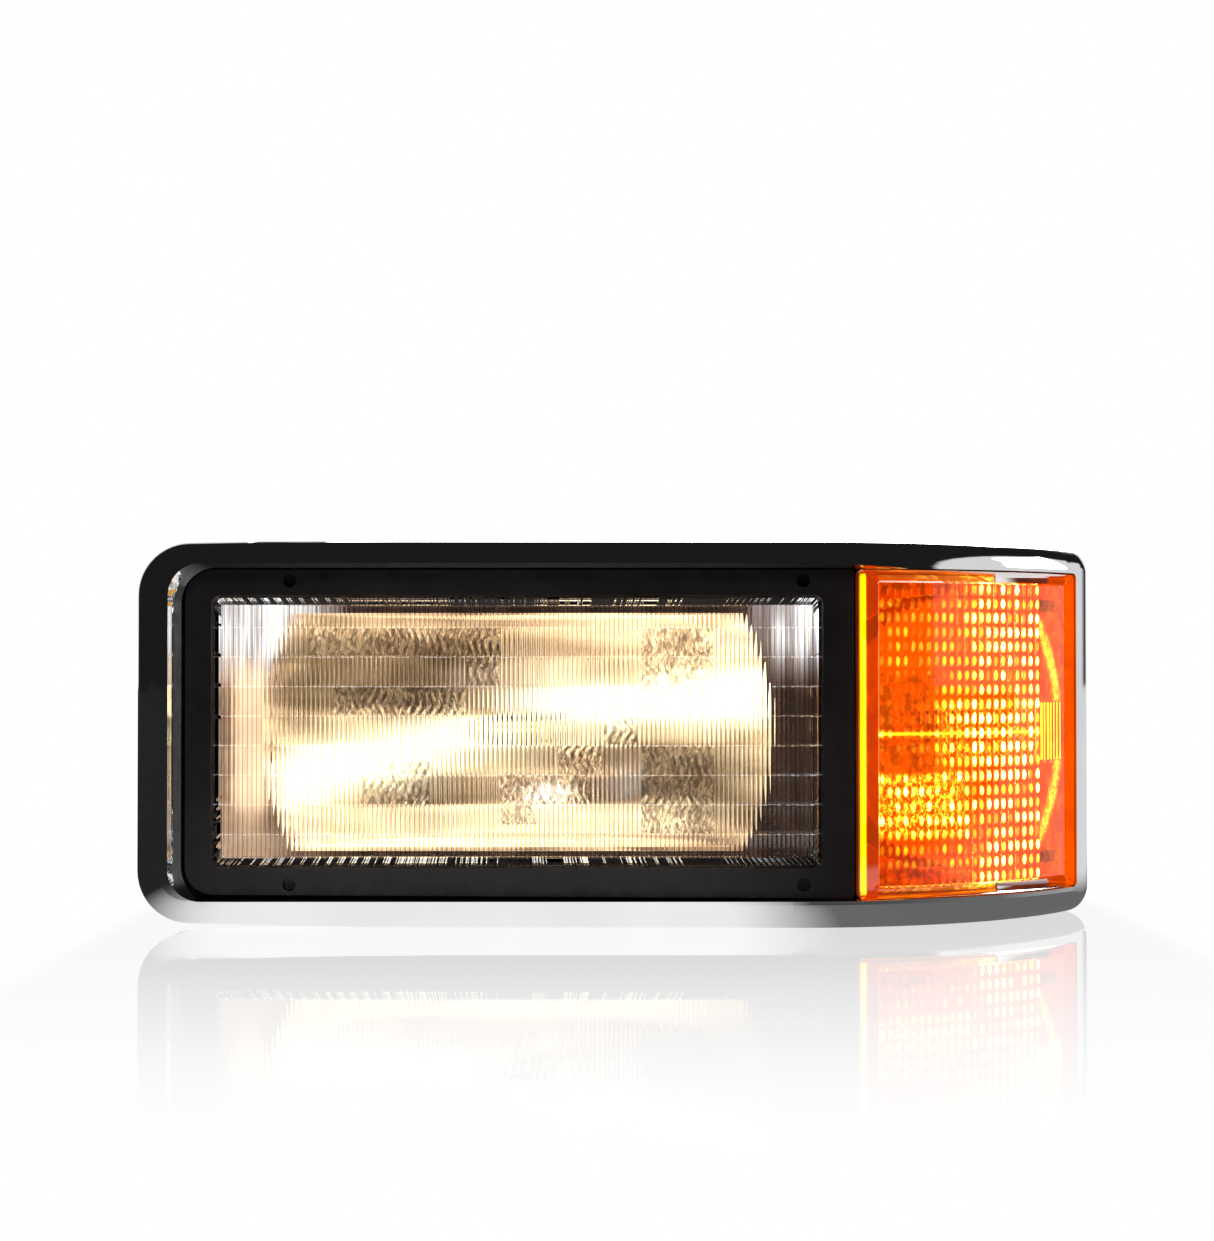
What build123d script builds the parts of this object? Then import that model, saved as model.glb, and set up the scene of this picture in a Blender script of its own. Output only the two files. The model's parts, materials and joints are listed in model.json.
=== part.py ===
"""Truck headlight assembly: chrome bezel, aimed headlamp and wrap-around turn signal.

Frame: X to the right seen from the front, Y towards the back, Z up, origin at the middle of the base.
Every "depth" is measured back from the bezel's front plane. Millimetres.
"""
import os
from math import asin, cos, degrees, radians, sin, sqrt

from build123d import *

os.makedirs("parts", exist_ok=True)

# ---- overall size ----
HALF_WIDTH = 317.0
HEIGHT = 250.0
DEPTH = 216.0
WALL = 2.5
GAP = 0.05  # radial clearance of a screw in its hole
ABOVE = (Align.CENTER, Align.CENTER, Align.MAX)  # a screw hole or boss runs in from its seat
BELOW = (Align.CENTER, Align.CENTER, Align.MIN)

# screws: radius, then head radius and height
SCREW = 2.0
SCREW_HEAD = (4.0, 2.6)
SMALL_SCREW = 1.5
SMALL_HEAD = (2.8, 2.0)
BEZEL_SCREW_LENGTH = 17.0
BEZEL_SCREW_HOLE = 16.0
FLANGE_SCREW_LENGTH = 7.0
TRIM_SCREW_LENGTH = 22.0
BRACKET_SCREW_LENGTH = 8.0
RETAINER_SCREW_LENGTH = 5.0
TURN_SCREW_LENGTH = 20.0

# ---- plan curve of the face: straight, then an arc that wraps round the vehicle's corner ----
ARC_X = 105.0
ARC_RADIUS = 244.0
SEAT_HEADING = 45.0  # behind the lenses the curve runs straight on from this heading
FAR_BACK = 230.0

# ---- chrome bezel ----
CORNER_LEFT = 34.0
CORNER_RIGHT = 18.0
EDGE_ROUND = 16.0
SKIRT = 34.0
BOTTOM_RISE = 4.5
TOP_DROP = 2.0
BOTTOM_RISE_X = -130.0
TOP_DROP_X = -150.0
OPENING_WALL = 22.0
TRIM_DEPTH = 12.0
OPENING_FRONT = (-295.3, 306.3, 18.2, 235.0)
OPENING_REAR = (-288.0, 306.3, 18.7, 231.8)
OPENING_ROUND_LEFT = 21.0
OPENING_ROUND_RIGHT = 3.0

# ---- carrier plate and the screw rows around it ----
CARRIER = 30.0
CARRIER_THICK = 3.0
CARRIER_INSET = 3.3
CARRIER_BACK = CARRIER + CARRIER_THICK
ROW_LOW = 9.0
ROW_HIGH = 241.0
BEZEL_SCREW_X = (-230.0, -60.0, 100.0)
BEZEL_SIDE_SCREW = (-304.0, 126.0)
BEZEL_SCREW_HEADING = 32.0
HOUSING_SCREW_X = (-150.0, 20.0)
HOUSING_SIDE_SCREWS = ((-290.0, 66.0), (-290.0, 186.0))
TURN_SCREW_HEADINGS = (14.0, SEAT_HEADING)
BOSS_RADIUS = 4.0
LUG_RADIUS = 5.0

# ---- lens window and the trim frame ----
WINDOW = (-269.4, 125.5, 38.7, 214.8)
WINDOW_ROUND = 6.5
TRIM = (-286.0, 145.4, 19.2, 231.0)
TRIM_LEFT_RISE = 2.6
TRIM_ROUND_LEFT = 18.0
TRIM_ROUND_RIGHT = 2.5
TRIM_SCREWS = ((-218.8, 28.2), (112.7, 28.2), (-218.8, 224.0), (112.7, 224.0))
TRIM_RECESS_RADIUS = 4.3
TRIM_BOSS_RADIUS = 5.1
LENS_FACE = 13.0
LENS_THICK = 3.5
LENS_FLANGE = 17.0
LENS_BACK = 20.0
FLANGE_REACH = 4.0
LENS_GAP = 0.4
GASKET_BACK = 21.5
HOUSING_FRONT = 24.0

# ---- headlamp housing ----
HOUSING = (-277.0, 133.0, 17.5, 233.5)
HOUSING_FLANGE = 3.0
HOUSING_ROUND = 12.0
HOUSING_BACK = 154.5
BULGE_BACK = 186.0
BULGE_HALF = (100.0, 84.5)
BULGE_END_HALF = 70.0
BULGE_ROUND = 30.0
REAR_HOLE = 44.0
FLANGE = 27.0
FOOT_X = (-212.0, 68.0)
FOOT_DEPTH = 130.0
FOOT_HALF = (13.0, 15.0)
INSERT_RADIUS = 4.5
INSERT_LENGTH = 12.0
INSERT_BORE = 2.5
STUD_X = (-242.0, 98.0)
STUD_Z = (41.0, 211.0)
STUD_RADIUS = 3.0
STUD_END = 176.0

# ---- headlamp reflector and its aiming gear ----
BEAM_X = -72.0
BEAM_Z = 126.0
FOCAL = 60.0
VERTEX = 170.0
BOWL_THICK = 3.2
RIM = 56.0
RIM_FLANGE = 3.0
FLAT_HALF = 77.0
NECK_RADIUS = 21.0
NECK_BORE = 16.2
NECK_END = 184.0
PIVOT_DEPTH = 95.0
PIVOT_Z = 34.0
TOP_BALL_Z = 218.0
SIDE_BALL_X = 38.0
BALL = 5.0
PIVOT_CUP = 5.3
ROD_CUP = 5.6
ROD = 3.0
ROD_BORE = 3.08
ROD_END = 178.0
KNOB_FRONT = 166.0
KNOB_BACK = 180.0
KNOB_RADIUS = 11.0
KNOB_GROOVES = 8
KNOB_GROOVE_RADIUS = 1.8
KNOB_NECK = 5.0
KNOB_NECK_LENGTH = 4.0
CUP_HALF = 9.0
CUP_BELOW = 3.5
CUP_MOUTH = 4.7
PIVOT_BOSS_TOP = 26.0
PIVOT_BOSS_FLOOR = 20.0
PIVOT_BOSS_RADIUS = 8.0
PIVOT_COLLAR = 1.6
BRACKET_HALF = 20.0
BRACKET_COLLAR = 6.8
BRACKET_SCREW_SPREAD = 15.0
BRACKET_SCREW_RISE = 10.0
BRACKET_BACK = HOUSING_BACK + 3.0
BRACKET_ROUND = 2.0
BRACKET_NEAR = 7.0
BRACKET_FAR = 16.0
INNER_BEZEL_BACK = 34.0
TRIM_POST_BACK = 60.0
STUD_HEAD_RADIUS = 8.0
STUD_HEAD = 3.0
STUD_SHOULDER = 4.5
VENT = (-215.0, 226.0)
VENT_BORE = 3.0
VENT_RUN = 6.0
VENT_BEND = 9.0

# ---- headlamp bulb and its rubber boot ----
FILAMENT = VERTEX - FOCAL
WIRE = 0.35
COIL_LENGTH = 5.0
COIL_TURNS = 7
GLASS_RADIUS = 7.0
GLASS_WALL = 1.0
GLASS_TIP = 12.0
STEM_RADIUS = 9.0
STEM_FRONT = 158.0
COLLAR_FRONT = 174.0
GLASS_END = COLLAR_FRONT - 4.0
COLLAR_RADIUS = 15.8
SEAL = (177.0, 180.0)
SEAL_GROOVE = 13.6
BASE_FLANGE = 20.0
BASE_FLANGE_BACK = 186.6
BASE_BODY = 13.0
PLUG_FRONT = 200.5
PLUG_HALF = (13.0, 10.0)
PLUG_WALL = 2.5
LOCK_WALL = (21.4, 24.5)
LOCK_DEPTHS = (178.0, 190.0)
LOCK_LIP = 3.0
LOCK_LIP_RADIUS = 13.6
LOCK_TAB = (5.0, 6.0)
BOOT_THICK = 1.8
BOOT_COLLAR = 7.0
BOOT_SLANT = (36.0, 43.0)
BOOT_RADIUS = 53.0
RETAINER_OUTER = 62.0
RETAINER_INNER = 45.5
RETAINER_RECESS = 59.5
RETAINER_BACK = 191.5
RETAINER_SCREW_RADIUS = 65.0
RETAINER_FLOOR = 2.9
EAR_RADIUS = 6.0
EAR_THICK = 3.0

# ---- turn signal ----
TURN = (147.5, 305.8, 19.2, 231.0)
TURN_FACE = 3.0
TURN_SEAT = 19.0
TURN_FRONT = 20.5
TURN_BACK = 140.0
TURN_PLATE = 24.0
TURN_PLATE_THICK = 2.0
TURN_AXIS_X = 222.0
TURN_FOCAL = 26.0
TURN_VERTEX = 128.0
TURN_BOWL = 88.0
TURN_SCREW_X = 279.0
TURN_SCREW_Z = (39.0, 212.0)
TURN_SCREW_SEAT = 110.5
TURN_WELL = 5.5
TURN_WELL_DEPTH = 10.0
TURN_POST_FRONT = 118.0
TURN_FLANGE = 5.9
TURN_LUG = CARRIER - 0.1
TURN_GLASS_DEPTH = 102.0
TURN_GLASS_RADIUS = 9.5
TURN_CAP_RADIUS = 7.5
CAP_FRONT = 114.0
CAP_SEAT = 118.0
CAP_BACK = 137.5
SOCKET_FRONT = 124.0
SOCKET_FLANGE = 142.0
SOCKET_END = 166.0
SOCKET_RADIUS = 12.0
SOCKET_HOLE = 12.4
SOCKET_RIM = 20.0
SOCKET_GRIP = 15.0
SOCKET_WING = (22.0, 3.0)
SOCKET_PLUG = (9.0, 6.0)
SOCKET_PLUG_FRONT = SOCKET_END - 12.0

# terminals: place from the plug's axis, then half width and half height of the blade
BLADE = (0.4, 2.5)
PLUG_BLADES = [(-6.0, 0.0, *BLADE), (0.0, 3.0, *reversed(BLADE)), (6.0, 0.0, *BLADE)]
TURN_BLADES = [(dx, 0.0, *BLADE) for dx in (-4.5, 0.0, 4.5)]

# filaments: depth, then height over the axis
FILAMENT_SPOTS = ((FILAMENT, 1.5), (FILAMENT + 8, -1.5))


# ---------- shared helpers ----------
def back(depth):
    """Row Y of a depth behind the front plane."""
    return depth - DEPTH / 2


def face_plane(depth):
    """Plane facing the front, with sketch x along X and sketch y along Z."""
    return Plane(origin=(0, back(depth), 0), x_dir=(1, 0, 0), z_dir=(0, -1, 0))


def rear_plane(x, z, depth):
    """Plane facing the back."""
    return Plane(origin=(x, back(depth), z), x_dir=(-1, 0, 0), z_dir=(0, 1, 0))


def seat_plane(heading, z, inset):
    """Plane facing the back, square to the curved part of the face."""
    angle = radians(heading)
    radius = ARC_RADIUS - inset
    origin = (ARC_X + radius * sin(angle), back(ARC_RADIUS - radius * cos(angle)), z)
    return Plane(origin=origin, x_dir=(-cos(angle), -sin(angle), 0), z_dir=(-sin(angle), cos(angle), 0))


def block(x0, x1, d0, d1, z0, z1, mode=Mode.ADD):
    """Box between two X, two depths and two heights."""
    with Locations(((x0 + x1) / 2, back((d0 + d1) / 2), (z0 + z1) / 2)):
        Box(x1 - x0, d1 - d0, z1 - z0, mode=mode)


def bar(x, z, d0, d1, radius, mode=Mode.ADD):
    """Round bar that runs front to back."""
    with Locations(Location((x, back((d0 + d1) / 2), z), (90, 0, 0))):
        Cylinder(radius, d1 - d0, mode=mode)


def post(x, depth, z0, z1, radius, mode=Mode.ADD):
    """Upright round post."""
    with Locations((x, back(depth), (z0 + z1) / 2)):
        Cylinder(radius, z1 - z0, mode=mode)


def ball(x, depth, z, radius, mode=Mode.ADD):
    with Locations((x, back(depth), z)):
        Sphere(radius, mode=mode)


def window_sketch(box, grow, round_left, round_right):
    """Rectangle from a box (x0, x1, z0, z1), grown all round, with its corners rounded."""
    x0, x1, z0, z1 = box
    with BuildSketch(Plane.XY) as sketch:
        with Locations(((x0 + x1) / 2, (z0 + z1) / 2)):
            Rectangle(x1 - x0 + 2 * grow, z1 - z0 + 2 * grow)
        fillet(sketch.vertices().group_by(Axis.X)[0], round_left + grow)
        fillet(sketch.vertices().group_by(Axis.X)[-1], round_right + grow)
    return sketch.sketch


def slab(sketch, d0, d1, mode=Mode.ADD):
    """Extrude a front-view sketch between two depths, inside a part's block."""
    with BuildSketch(face_plane(d1)) as profile:
        add(sketch)
    extrude(profile.sketch, amount=d1 - d0, mode=mode)


def skin_curve(start_x, end_x, inset):
    """Face curve seen from above, moved in by inset. Returns its two ends."""
    radius = ARC_RADIUS - inset
    run = Line((start_x, back(inset)), (ARC_X, back(inset)))
    bend = JernArc(run @ 1, (1, 0), radius, degrees(asin((end_x - ARC_X) / radius)))
    return run @ 0, bend @ 1


def seat_curve(start_x, end_x, inset):
    """Curve of the seats behind the face: it leaves the arc at the seat heading and runs straight."""
    run = Line((start_x, back(inset)), (ARC_X, back(inset)))
    bend = JernArc(run @ 1, (1, 0), ARC_RADIUS - inset, SEAT_HEADING)
    leave = bend @ 1
    slope = sin(radians(SEAT_HEADING)) / cos(radians(SEAT_HEADING))
    tail = Line(leave, (end_x, leave.Y + (end_x - leave.X) * slope))
    return run @ 0, tail @ 1


def plan_sketch(front_curve, front_inset, rear_inset, start_x, end_x):
    """Plan-view region from a front curve back to a seat curve."""
    with BuildSketch(Plane.XY) as sketch:
        with BuildLine():
            front = front_curve(start_x, end_x, front_inset)
            rear = seat_curve(start_x, end_x, rear_inset)
            Line(front[0], rear[0])
            Line(front[1], rear[1])
        make_face()
    return sketch.sketch


def behind_seat_sketch(inset, depth, start_x, end_x):
    """Plan-view region from a seat curve back to a flat rear."""
    with BuildSketch(Plane.XY) as sketch:
        with BuildLine():
            front = seat_curve(start_x, end_x, inset)
            Polyline(front[0], (start_x, back(depth)), (end_x, back(depth)), front[1])
        make_face()
    return sketch.sketch


def raised(sketch, z0, z1):
    """Extrude a plan-view sketch between two heights."""
    with BuildPart() as prism:
        with BuildSketch(Plane.XY.offset(z0)):
            add(sketch)
        extrude(amount=z1 - z0)
    return prism.part


def paraboloid(x, z, vertex, focal, radius):
    """Solid paraboloid that opens to the front."""
    rim = vertex - radius**2 / (4 * focal)
    with BuildPart() as bowl:
        with BuildSketch(Plane.XY.offset(z)):
            with BuildLine():
                Bezier((x, back(vertex)), (x + radius / 2, back(vertex)), (x + radius, back(rim)))
                Polyline((x + radius, back(rim)), (x, back(rim)), (x, back(vertex)))
            make_face()
        revolve(axis=Axis((x, 0, z), (0, 1, 0)))
    return bowl.part


def ring_profile(x, z, points):
    """Solid of revolution about a front-to-back axis, from (radius, depth) points."""
    with BuildPart() as ring:
        with BuildSketch(Plane.XY.offset(z)):
            with BuildLine():
                Polyline(*[(x + radius, back(depth)) for radius, depth in points], close=True)
            make_face()
        revolve(axis=Axis((x, 0, z), (0, 1, 0)))
    return ring.part


def screw_group(planes, radius, length, head_radius, head_height):
    """Cross-head screws, each with its head's underside on a plane."""
    slot_width = 0.3 * head_radius
    with BuildPart() as screws:
        with Locations(*[Location(plane) for plane in planes]):
            Cylinder(radius, length, align=ABOVE)
            Cylinder(head_radius, head_height, align=BELOW)
            with Locations((0, 0, head_height)):
                Box(1.3 * head_radius, slot_width, head_height, mode=Mode.SUBTRACT)
                Box(slot_width, 1.3 * head_radius, head_height, mode=Mode.SUBTRACT)
    return screws.part


def save(part, name):
    part.label = name
    export_step(part, f"parts/{name}.step")


# ---------- chrome bezel ----------
def outline_sketch(inset):
    """Front outline of the bezel, left open at the right, where the end wall cuts it."""
    left = -HALF_WIDTH + inset
    right = HALF_WIDTH + CORNER_LEFT
    low = inset
    high = HEIGHT - inset
    with BuildSketch(Plane.XY) as sketch:
        with BuildLine():
            Line((right, low), (BOTTOM_RISE_X, low))
            bottom = TangentArc((BOTTOM_RISE_X, low), (left, low + BOTTOM_RISE), tangent=(-1, 0))
            Line((right, high), (TOP_DROP_X, high))
            top = TangentArc((TOP_DROP_X, high), (left, high - TOP_DROP), tangent=(-1, 0))
            Line(bottom @ 1, top @ 1)
            Line((right, low), (right, high))
        make_face()
        fillet(sketch.vertices().group_by(Axis.X)[0], CORNER_LEFT - inset)
    return sketch.sketch


def face_inset(point):
    """How far a point lies behind the face curve."""
    if point.X <= ARC_X:
        return point.Y + DEPTH / 2
    run = point.X - ARC_X
    rise = back(ARC_RADIUS) - point.Y
    return ARC_RADIUS - sqrt(run**2 + rise**2)


def bezel_block(inset, rear):
    """Solid bezel shape with its front edge rounded, moved in by inset."""
    right = HALF_WIDTH - inset
    with BuildPart() as solid:
        add(raised(plan_sketch(skin_curve, inset, rear, -HALF_WIDTH - 1, right), -1, HEIGHT + 1))
        slab(outline_sketch(inset), -1, FAR_BACK, mode=Mode.INTERSECT)
        ends = solid.edges().filter_by(Axis.Y).filter_by(lambda edge: edge.center().X > right - 0.1)
        fillet(ends, CORNER_RIGHT - inset)
        rim = solid.edges().filter_by(lambda edge: abs(face_inset(edge @ 0.5) - inset) < 0.01)
        fillet(rim, EDGE_ROUND - inset)
    return solid.part


def opening_tool(grow):
    """Space in front of the lamps: flared over the trim depth, then straight back."""
    front = window_sketch(OPENING_FRONT, grow, OPENING_ROUND_LEFT, OPENING_ROUND_RIGHT)
    rear = window_sketch(OPENING_REAR, grow, OPENING_ROUND_LEFT, OPENING_ROUND_RIGHT)
    with BuildPart() as space:
        slab(front, -WALL, 0)
        with BuildSketch(face_plane(0)):
            add(front)
        with BuildSketch(face_plane(TRIM_DEPTH)):
            add(rear)
        loft()
        slab(rear, TRIM_DEPTH, FAR_BACK)
    return space.part


def bezel_screw_planes(inset):
    """Seats of the bezel's screws at one depth behind the face; a head clears the hollow of the curve."""
    places = [(x, z) for x in BEZEL_SCREW_X for z in (ROW_LOW, ROW_HIGH)] + [BEZEL_SIDE_SCREW]
    planes = [rear_plane(x, z, inset) for x, z in places]
    return planes + [seat_plane(BEZEL_SCREW_HEADING, z, inset + GAP) for z in (ROW_LOW, ROW_HIGH)]


def opening_wall():
    """Opening of the bezel with the thickness of its return wall."""
    band = plan_sketch(skin_curve, 0, OPENING_WALL, -HALF_WIDTH, HALF_WIDTH)
    with BuildPart() as wall:
        add(opening_tool(WALL))
        add(raised(band, 0, HEIGHT), mode=Mode.INTERSECT)
    return wall.part


def chrome_bezel():
    with BuildPart() as hollow:
        add(bezel_block(WALL, SKIRT + WALL))
        add(opening_wall(), mode=Mode.SUBTRACT)
        with Locations(*[Location(plane) for plane in bezel_screw_planes(CARRIER - GAP)]):
            Cylinder(BOSS_RADIUS, CARRIER, align=ABOVE, mode=Mode.SUBTRACT)
    with BuildPart() as bezel:
        add(bezel_block(0, SKIRT))
        add(hollow.part, mode=Mode.SUBTRACT)
        add(opening_tool(0), mode=Mode.SUBTRACT)
        with Locations(*[Location(plane) for plane in bezel_screw_planes(CARRIER)]):
            Cylinder(SCREW + GAP, BEZEL_SCREW_HOLE, align=ABOVE, mode=Mode.SUBTRACT)
    return bezel.part


# ---------- carrier plate and what fastens to it ----------
def lamp_outline(box, grow, corner):
    return window_sketch(box, grow, corner, corner)


def flange_screw_planes(depth):
    """Seats of the screws that hold the headlamp housing to the carrier."""
    places = [(x, z) for x in HOUSING_SCREW_X for z in (ROW_LOW, ROW_HIGH)]
    return [rear_plane(x, z, depth) for x, z in places + list(HOUSING_SIDE_SCREWS)]


def turn_screw_planes(inset):
    places = [(heading, z) for heading in TURN_SCREW_HEADINGS for z in (ROW_LOW, ROW_HIGH)]
    return [seat_plane(heading, z, inset + GAP) for heading, z in places]


def carrier_plate():
    start = -HALF_WIDTH + CARRIER_INSET
    sheet = plan_sketch(seat_curve, CARRIER, CARRIER + CARRIER_THICK, start, -start)
    edge = (start, -start, CARRIER_INSET, HEIGHT - CARRIER_INSET)
    edge_outline = window_sketch(edge, 0, CORNER_LEFT - CARRIER_INSET, CORNER_RIGHT - CARRIER_INSET)
    turn_hole = (TURN[0], TURN[1], TURN[2] + WALL, TURN[3] - WALL)
    holes = bezel_screw_planes(CARRIER) + flange_screw_planes(CARRIER) + turn_screw_planes(CARRIER)
    with BuildPart() as plate:
        add(raised(sheet, 0, HEIGHT))
        slab(outline_sketch(CARRIER_INSET), 0, FAR_BACK, mode=Mode.INTERSECT)
        slab(edge_outline, 0, FAR_BACK, mode=Mode.INTERSECT)
        slab(lamp_outline(HOUSING, 1, HOUSING_ROUND), 0, FAR_BACK, mode=Mode.SUBTRACT)
        slab(lamp_outline(turn_hole, 1, TRIM_ROUND_RIGHT), 0, FAR_BACK, mode=Mode.SUBTRACT)
        with Locations(*[Location(plane) for plane in holes]):
            Cylinder(SCREW + GAP, 4 * CARRIER_THICK, mode=Mode.SUBTRACT)
    return plate.part


# ---------- clear lens, its frame and its gasket ----------
def lens_outline(grow):
    """Front outline of the lens window, grown all round."""
    return window_sketch(WINDOW, grow, WINDOW_ROUND, WINDOW_ROUND)


def trim_frame():
    x0, x1, z0, z1 = TRIM
    with BuildSketch(Plane.XY) as outline:
        with BuildLine():
            Polyline((x0, z0 + TRIM_LEFT_RISE), (x1, z0), (x1, z1), (x0, z1), close=True)
        make_face()
        fillet(outline.vertices().group_by(Axis.X)[0], TRIM_ROUND_LEFT)
        fillet(outline.vertices().group_by(Axis.X)[-1], TRIM_ROUND_RIGHT)
    plate_back = TRIM_DEPTH + WALL
    with BuildPart() as frame:
        slab(outline.sketch, TRIM_DEPTH, plate_back)
        slab(lens_outline(FLANGE_REACH), plate_back, LENS_FLANGE)
        slab(lens_outline(0), TRIM_DEPTH, LENS_FLANGE, mode=Mode.SUBTRACT)
        for x, z in TRIM_SCREWS:
            bar(x, z, plate_back, HOUSING_FRONT, TRIM_BOSS_RADIUS)
            bar(x, z, TRIM_DEPTH, LENS_FLANGE + 1, TRIM_RECESS_RADIUS, mode=Mode.SUBTRACT)
            bar(x, z, TRIM_DEPTH, HOUSING_FRONT, SCREW + GAP, mode=Mode.SUBTRACT)
    return frame.part


def trim_screw_planes():
    return [Plane(origin=(x, back(LENS_FLANGE + 1), z), z_dir=(0, -1, 0)) for x, z in TRIM_SCREWS]


def headlamp_lens():
    with BuildPart() as lens:
        slab(lens_outline(-LENS_GAP), LENS_FACE, LENS_BACK)
        slab(lens_outline(FLANGE_REACH), LENS_FLANGE, LENS_BACK)
        slab(lens_outline(-LENS_THICK), LENS_FACE + LENS_THICK, LENS_BACK,
             mode=Mode.SUBTRACT)
    return lens.part


def lens_gasket():
    with BuildPart() as gasket:
        slab(lens_outline(FLANGE_REACH - 0.5), LENS_BACK, GASKET_BACK)
        slab(lens_outline(-1), LENS_BACK, GASKET_BACK, mode=Mode.SUBTRACT)
    return gasket.part


def bowl_outline(radius, half_height):
    """Circle with its top and bottom cut flat, in the front view."""
    with BuildSketch(Plane.XY) as outline:
        with Locations((BEAM_X, BEAM_Z)):
            Circle(radius)
            Rectangle(3 * radius, 2 * half_height, mode=Mode.INTERSECT)
    return outline.sketch


def inner_bezel():
    tube_back = INNER_BEZEL_BACK
    with BuildPart() as shroud:
        slab(lens_outline(FLANGE_REACH), GASKET_BACK, HOUSING_FRONT)
        slab(lens_outline(1), GASKET_BACK, tube_back)
        slab(lens_outline(-1), GASKET_BACK, tube_back - 2, mode=Mode.SUBTRACT)
        slab(bowl_outline(rim_radius(0), FLAT_HALF + 0.5), GASKET_BACK, tube_back, mode=Mode.SUBTRACT)
    return shroud.part


# ---------- headlamp housing ----------
def bulge_solid(grow, depth):
    """Tapered rear of the housing, grown all round, from the rear wall back to a depth."""
    half_x, half_z = BULGE_HALF
    end_half = BULGE_END_HALF
    start = HOUSING_BACK - WALL
    with BuildPart() as bulge:
        with BuildSketch(face_plane(start)):
            with Locations((BEAM_X, BEAM_Z)):
                RectangleRounded(2 * (half_x + grow), 2 * (half_z + grow), BULGE_ROUND + grow)
        with BuildSketch(face_plane(depth)):
            with Locations((BEAM_X, BEAM_Z)):
                RectangleRounded(2 * (end_half + grow), 2 * (end_half + grow), BULGE_ROUND + grow)
        loft()
    return bulge.part


def retainer_screw_planes(depth):
    """Seats of the boot retainer's screws, on the diagonals."""
    run = RETAINER_SCREW_RADIUS * cos(radians(45))
    return [rear_plane(BEAM_X + dx, BEAM_Z + dz, depth) for dx in (-run, run) for dz in (-run, run)]


def bracket_screw_planes(depth):
    spots = [(BEAM_X + side * BRACKET_SCREW_SPREAD, TOP_BALL_Z + BRACKET_SCREW_RISE) for side in (-1, 1)]
    spots += [(SIDE_BALL_X + side * BRACKET_SCREW_SPREAD, PIVOT_Z - BRACKET_SCREW_RISE) for side in (-1, 1)]
    return [rear_plane(x, z, depth) for x, z in spots]


def lamp_housing():
    x0, x1, z0, z1 = HOUSING
    front_opening = lens_outline(1.6)
    lug_planes = flange_screw_planes(CARRIER)
    floor = z0 + WALL
    foot_x, foot_y = FOOT_HALF
    with BuildPart() as housing:
        slab(lamp_outline(HOUSING, 0, HOUSING_ROUND), HOUSING_FRONT, HOUSING_BACK)
        slab(lamp_outline(HOUSING, HOUSING_FLANGE, HOUSING_ROUND), FLANGE, CARRIER)
        with Locations(*[Location(plane) for plane in lug_planes]):
            Cylinder(LUG_RADIUS, CARRIER - FLANGE, align=ABOVE)
        for x in HOUSING_SCREW_X:
            block(x - LUG_RADIUS, x + LUG_RADIUS, FLANGE, CARRIER, ROW_LOW, ROW_HIGH)
        for side_x, side_z in HOUSING_SIDE_SCREWS:
            block(side_x, x0, FLANGE, CARRIER, side_z - LUG_RADIUS, side_z + LUG_RADIUS)
        add(bulge_solid(0, BULGE_BACK))
        for x in FOOT_X:
            block(x - foot_x, x + foot_x, FOOT_DEPTH - foot_y, FOOT_DEPTH + foot_y, 0, floor)
        slab(lamp_outline(HOUSING, -WALL, HOUSING_ROUND), HOUSING_FRONT + WALL, HOUSING_BACK - WALL,
             mode=Mode.SUBTRACT)
        slab(front_opening, HOUSING_FRONT, HOUSING_FRONT + WALL, mode=Mode.SUBTRACT)
        add(bulge_solid(-WALL, BULGE_BACK - WALL), mode=Mode.SUBTRACT)
        bar(BEAM_X, BEAM_Z, BULGE_BACK - 2 * WALL, BULGE_BACK, REAR_HOLE, mode=Mode.SUBTRACT)
        for x, z in TRIM_SCREWS:
            inner_wall = floor if z < BEAM_Z else z1 - WALL
            low, high = sorted((z, inner_wall))
            block(x - WALL / 2, x + WALL / 2, HOUSING_FRONT + WALL, TRIM_POST_BACK, low, high)
            bar(x, z, HOUSING_FRONT, TRIM_POST_BACK, TRIM_BOSS_RADIUS - 0.5)
            bar(x, z, HOUSING_FRONT, TRIM_POST_BACK - WALL, SCREW + GAP, mode=Mode.SUBTRACT)
        post(BEAM_X, PIVOT_DEPTH, floor - 1, PIVOT_BOSS_TOP, PIVOT_BOSS_RADIUS)
        post(BEAM_X, PIVOT_DEPTH, PIVOT_BOSS_FLOOR, PIVOT_BOSS_TOP, ROD_BORE, mode=Mode.SUBTRACT)
        for x, z in ((BEAM_X, TOP_BALL_Z), (SIDE_BALL_X, PIVOT_Z)):
            bar(x, z, HOUSING_BACK - WALL, HOUSING_BACK, ROD + 1, mode=Mode.SUBTRACT)
        for x in STUD_X:
            for z in STUD_Z:
                bar(x, z, HOUSING_BACK - WALL, HOUSING_BACK, STUD_SHOULDER + GAP, mode=Mode.SUBTRACT)
        for x in FOOT_X:
            post(x, FOOT_DEPTH, 0, INSERT_LENGTH, INSERT_RADIUS + GAP, mode=Mode.SUBTRACT)
        bar(VENT[0], VENT[1], HOUSING_BACK - WALL, HOUSING_BACK, VENT_BORE, mode=Mode.SUBTRACT)
        with Locations(*[Location(plane) for plane in lug_planes]):
            Cylinder(SCREW + GAP, 4 * CARRIER_THICK, mode=Mode.SUBTRACT)
        with Locations(*[Location(plane) for plane in retainer_screw_planes(BULGE_BACK)]):
            Cylinder(SMALL_SCREW + GAP, 4 * WALL, mode=Mode.SUBTRACT)
        with Locations(*[Location(plane) for plane in bracket_screw_planes(HOUSING_BACK)]):
            Cylinder(SMALL_SCREW + GAP, 4 * WALL, mode=Mode.SUBTRACT)
    return housing.part


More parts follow.
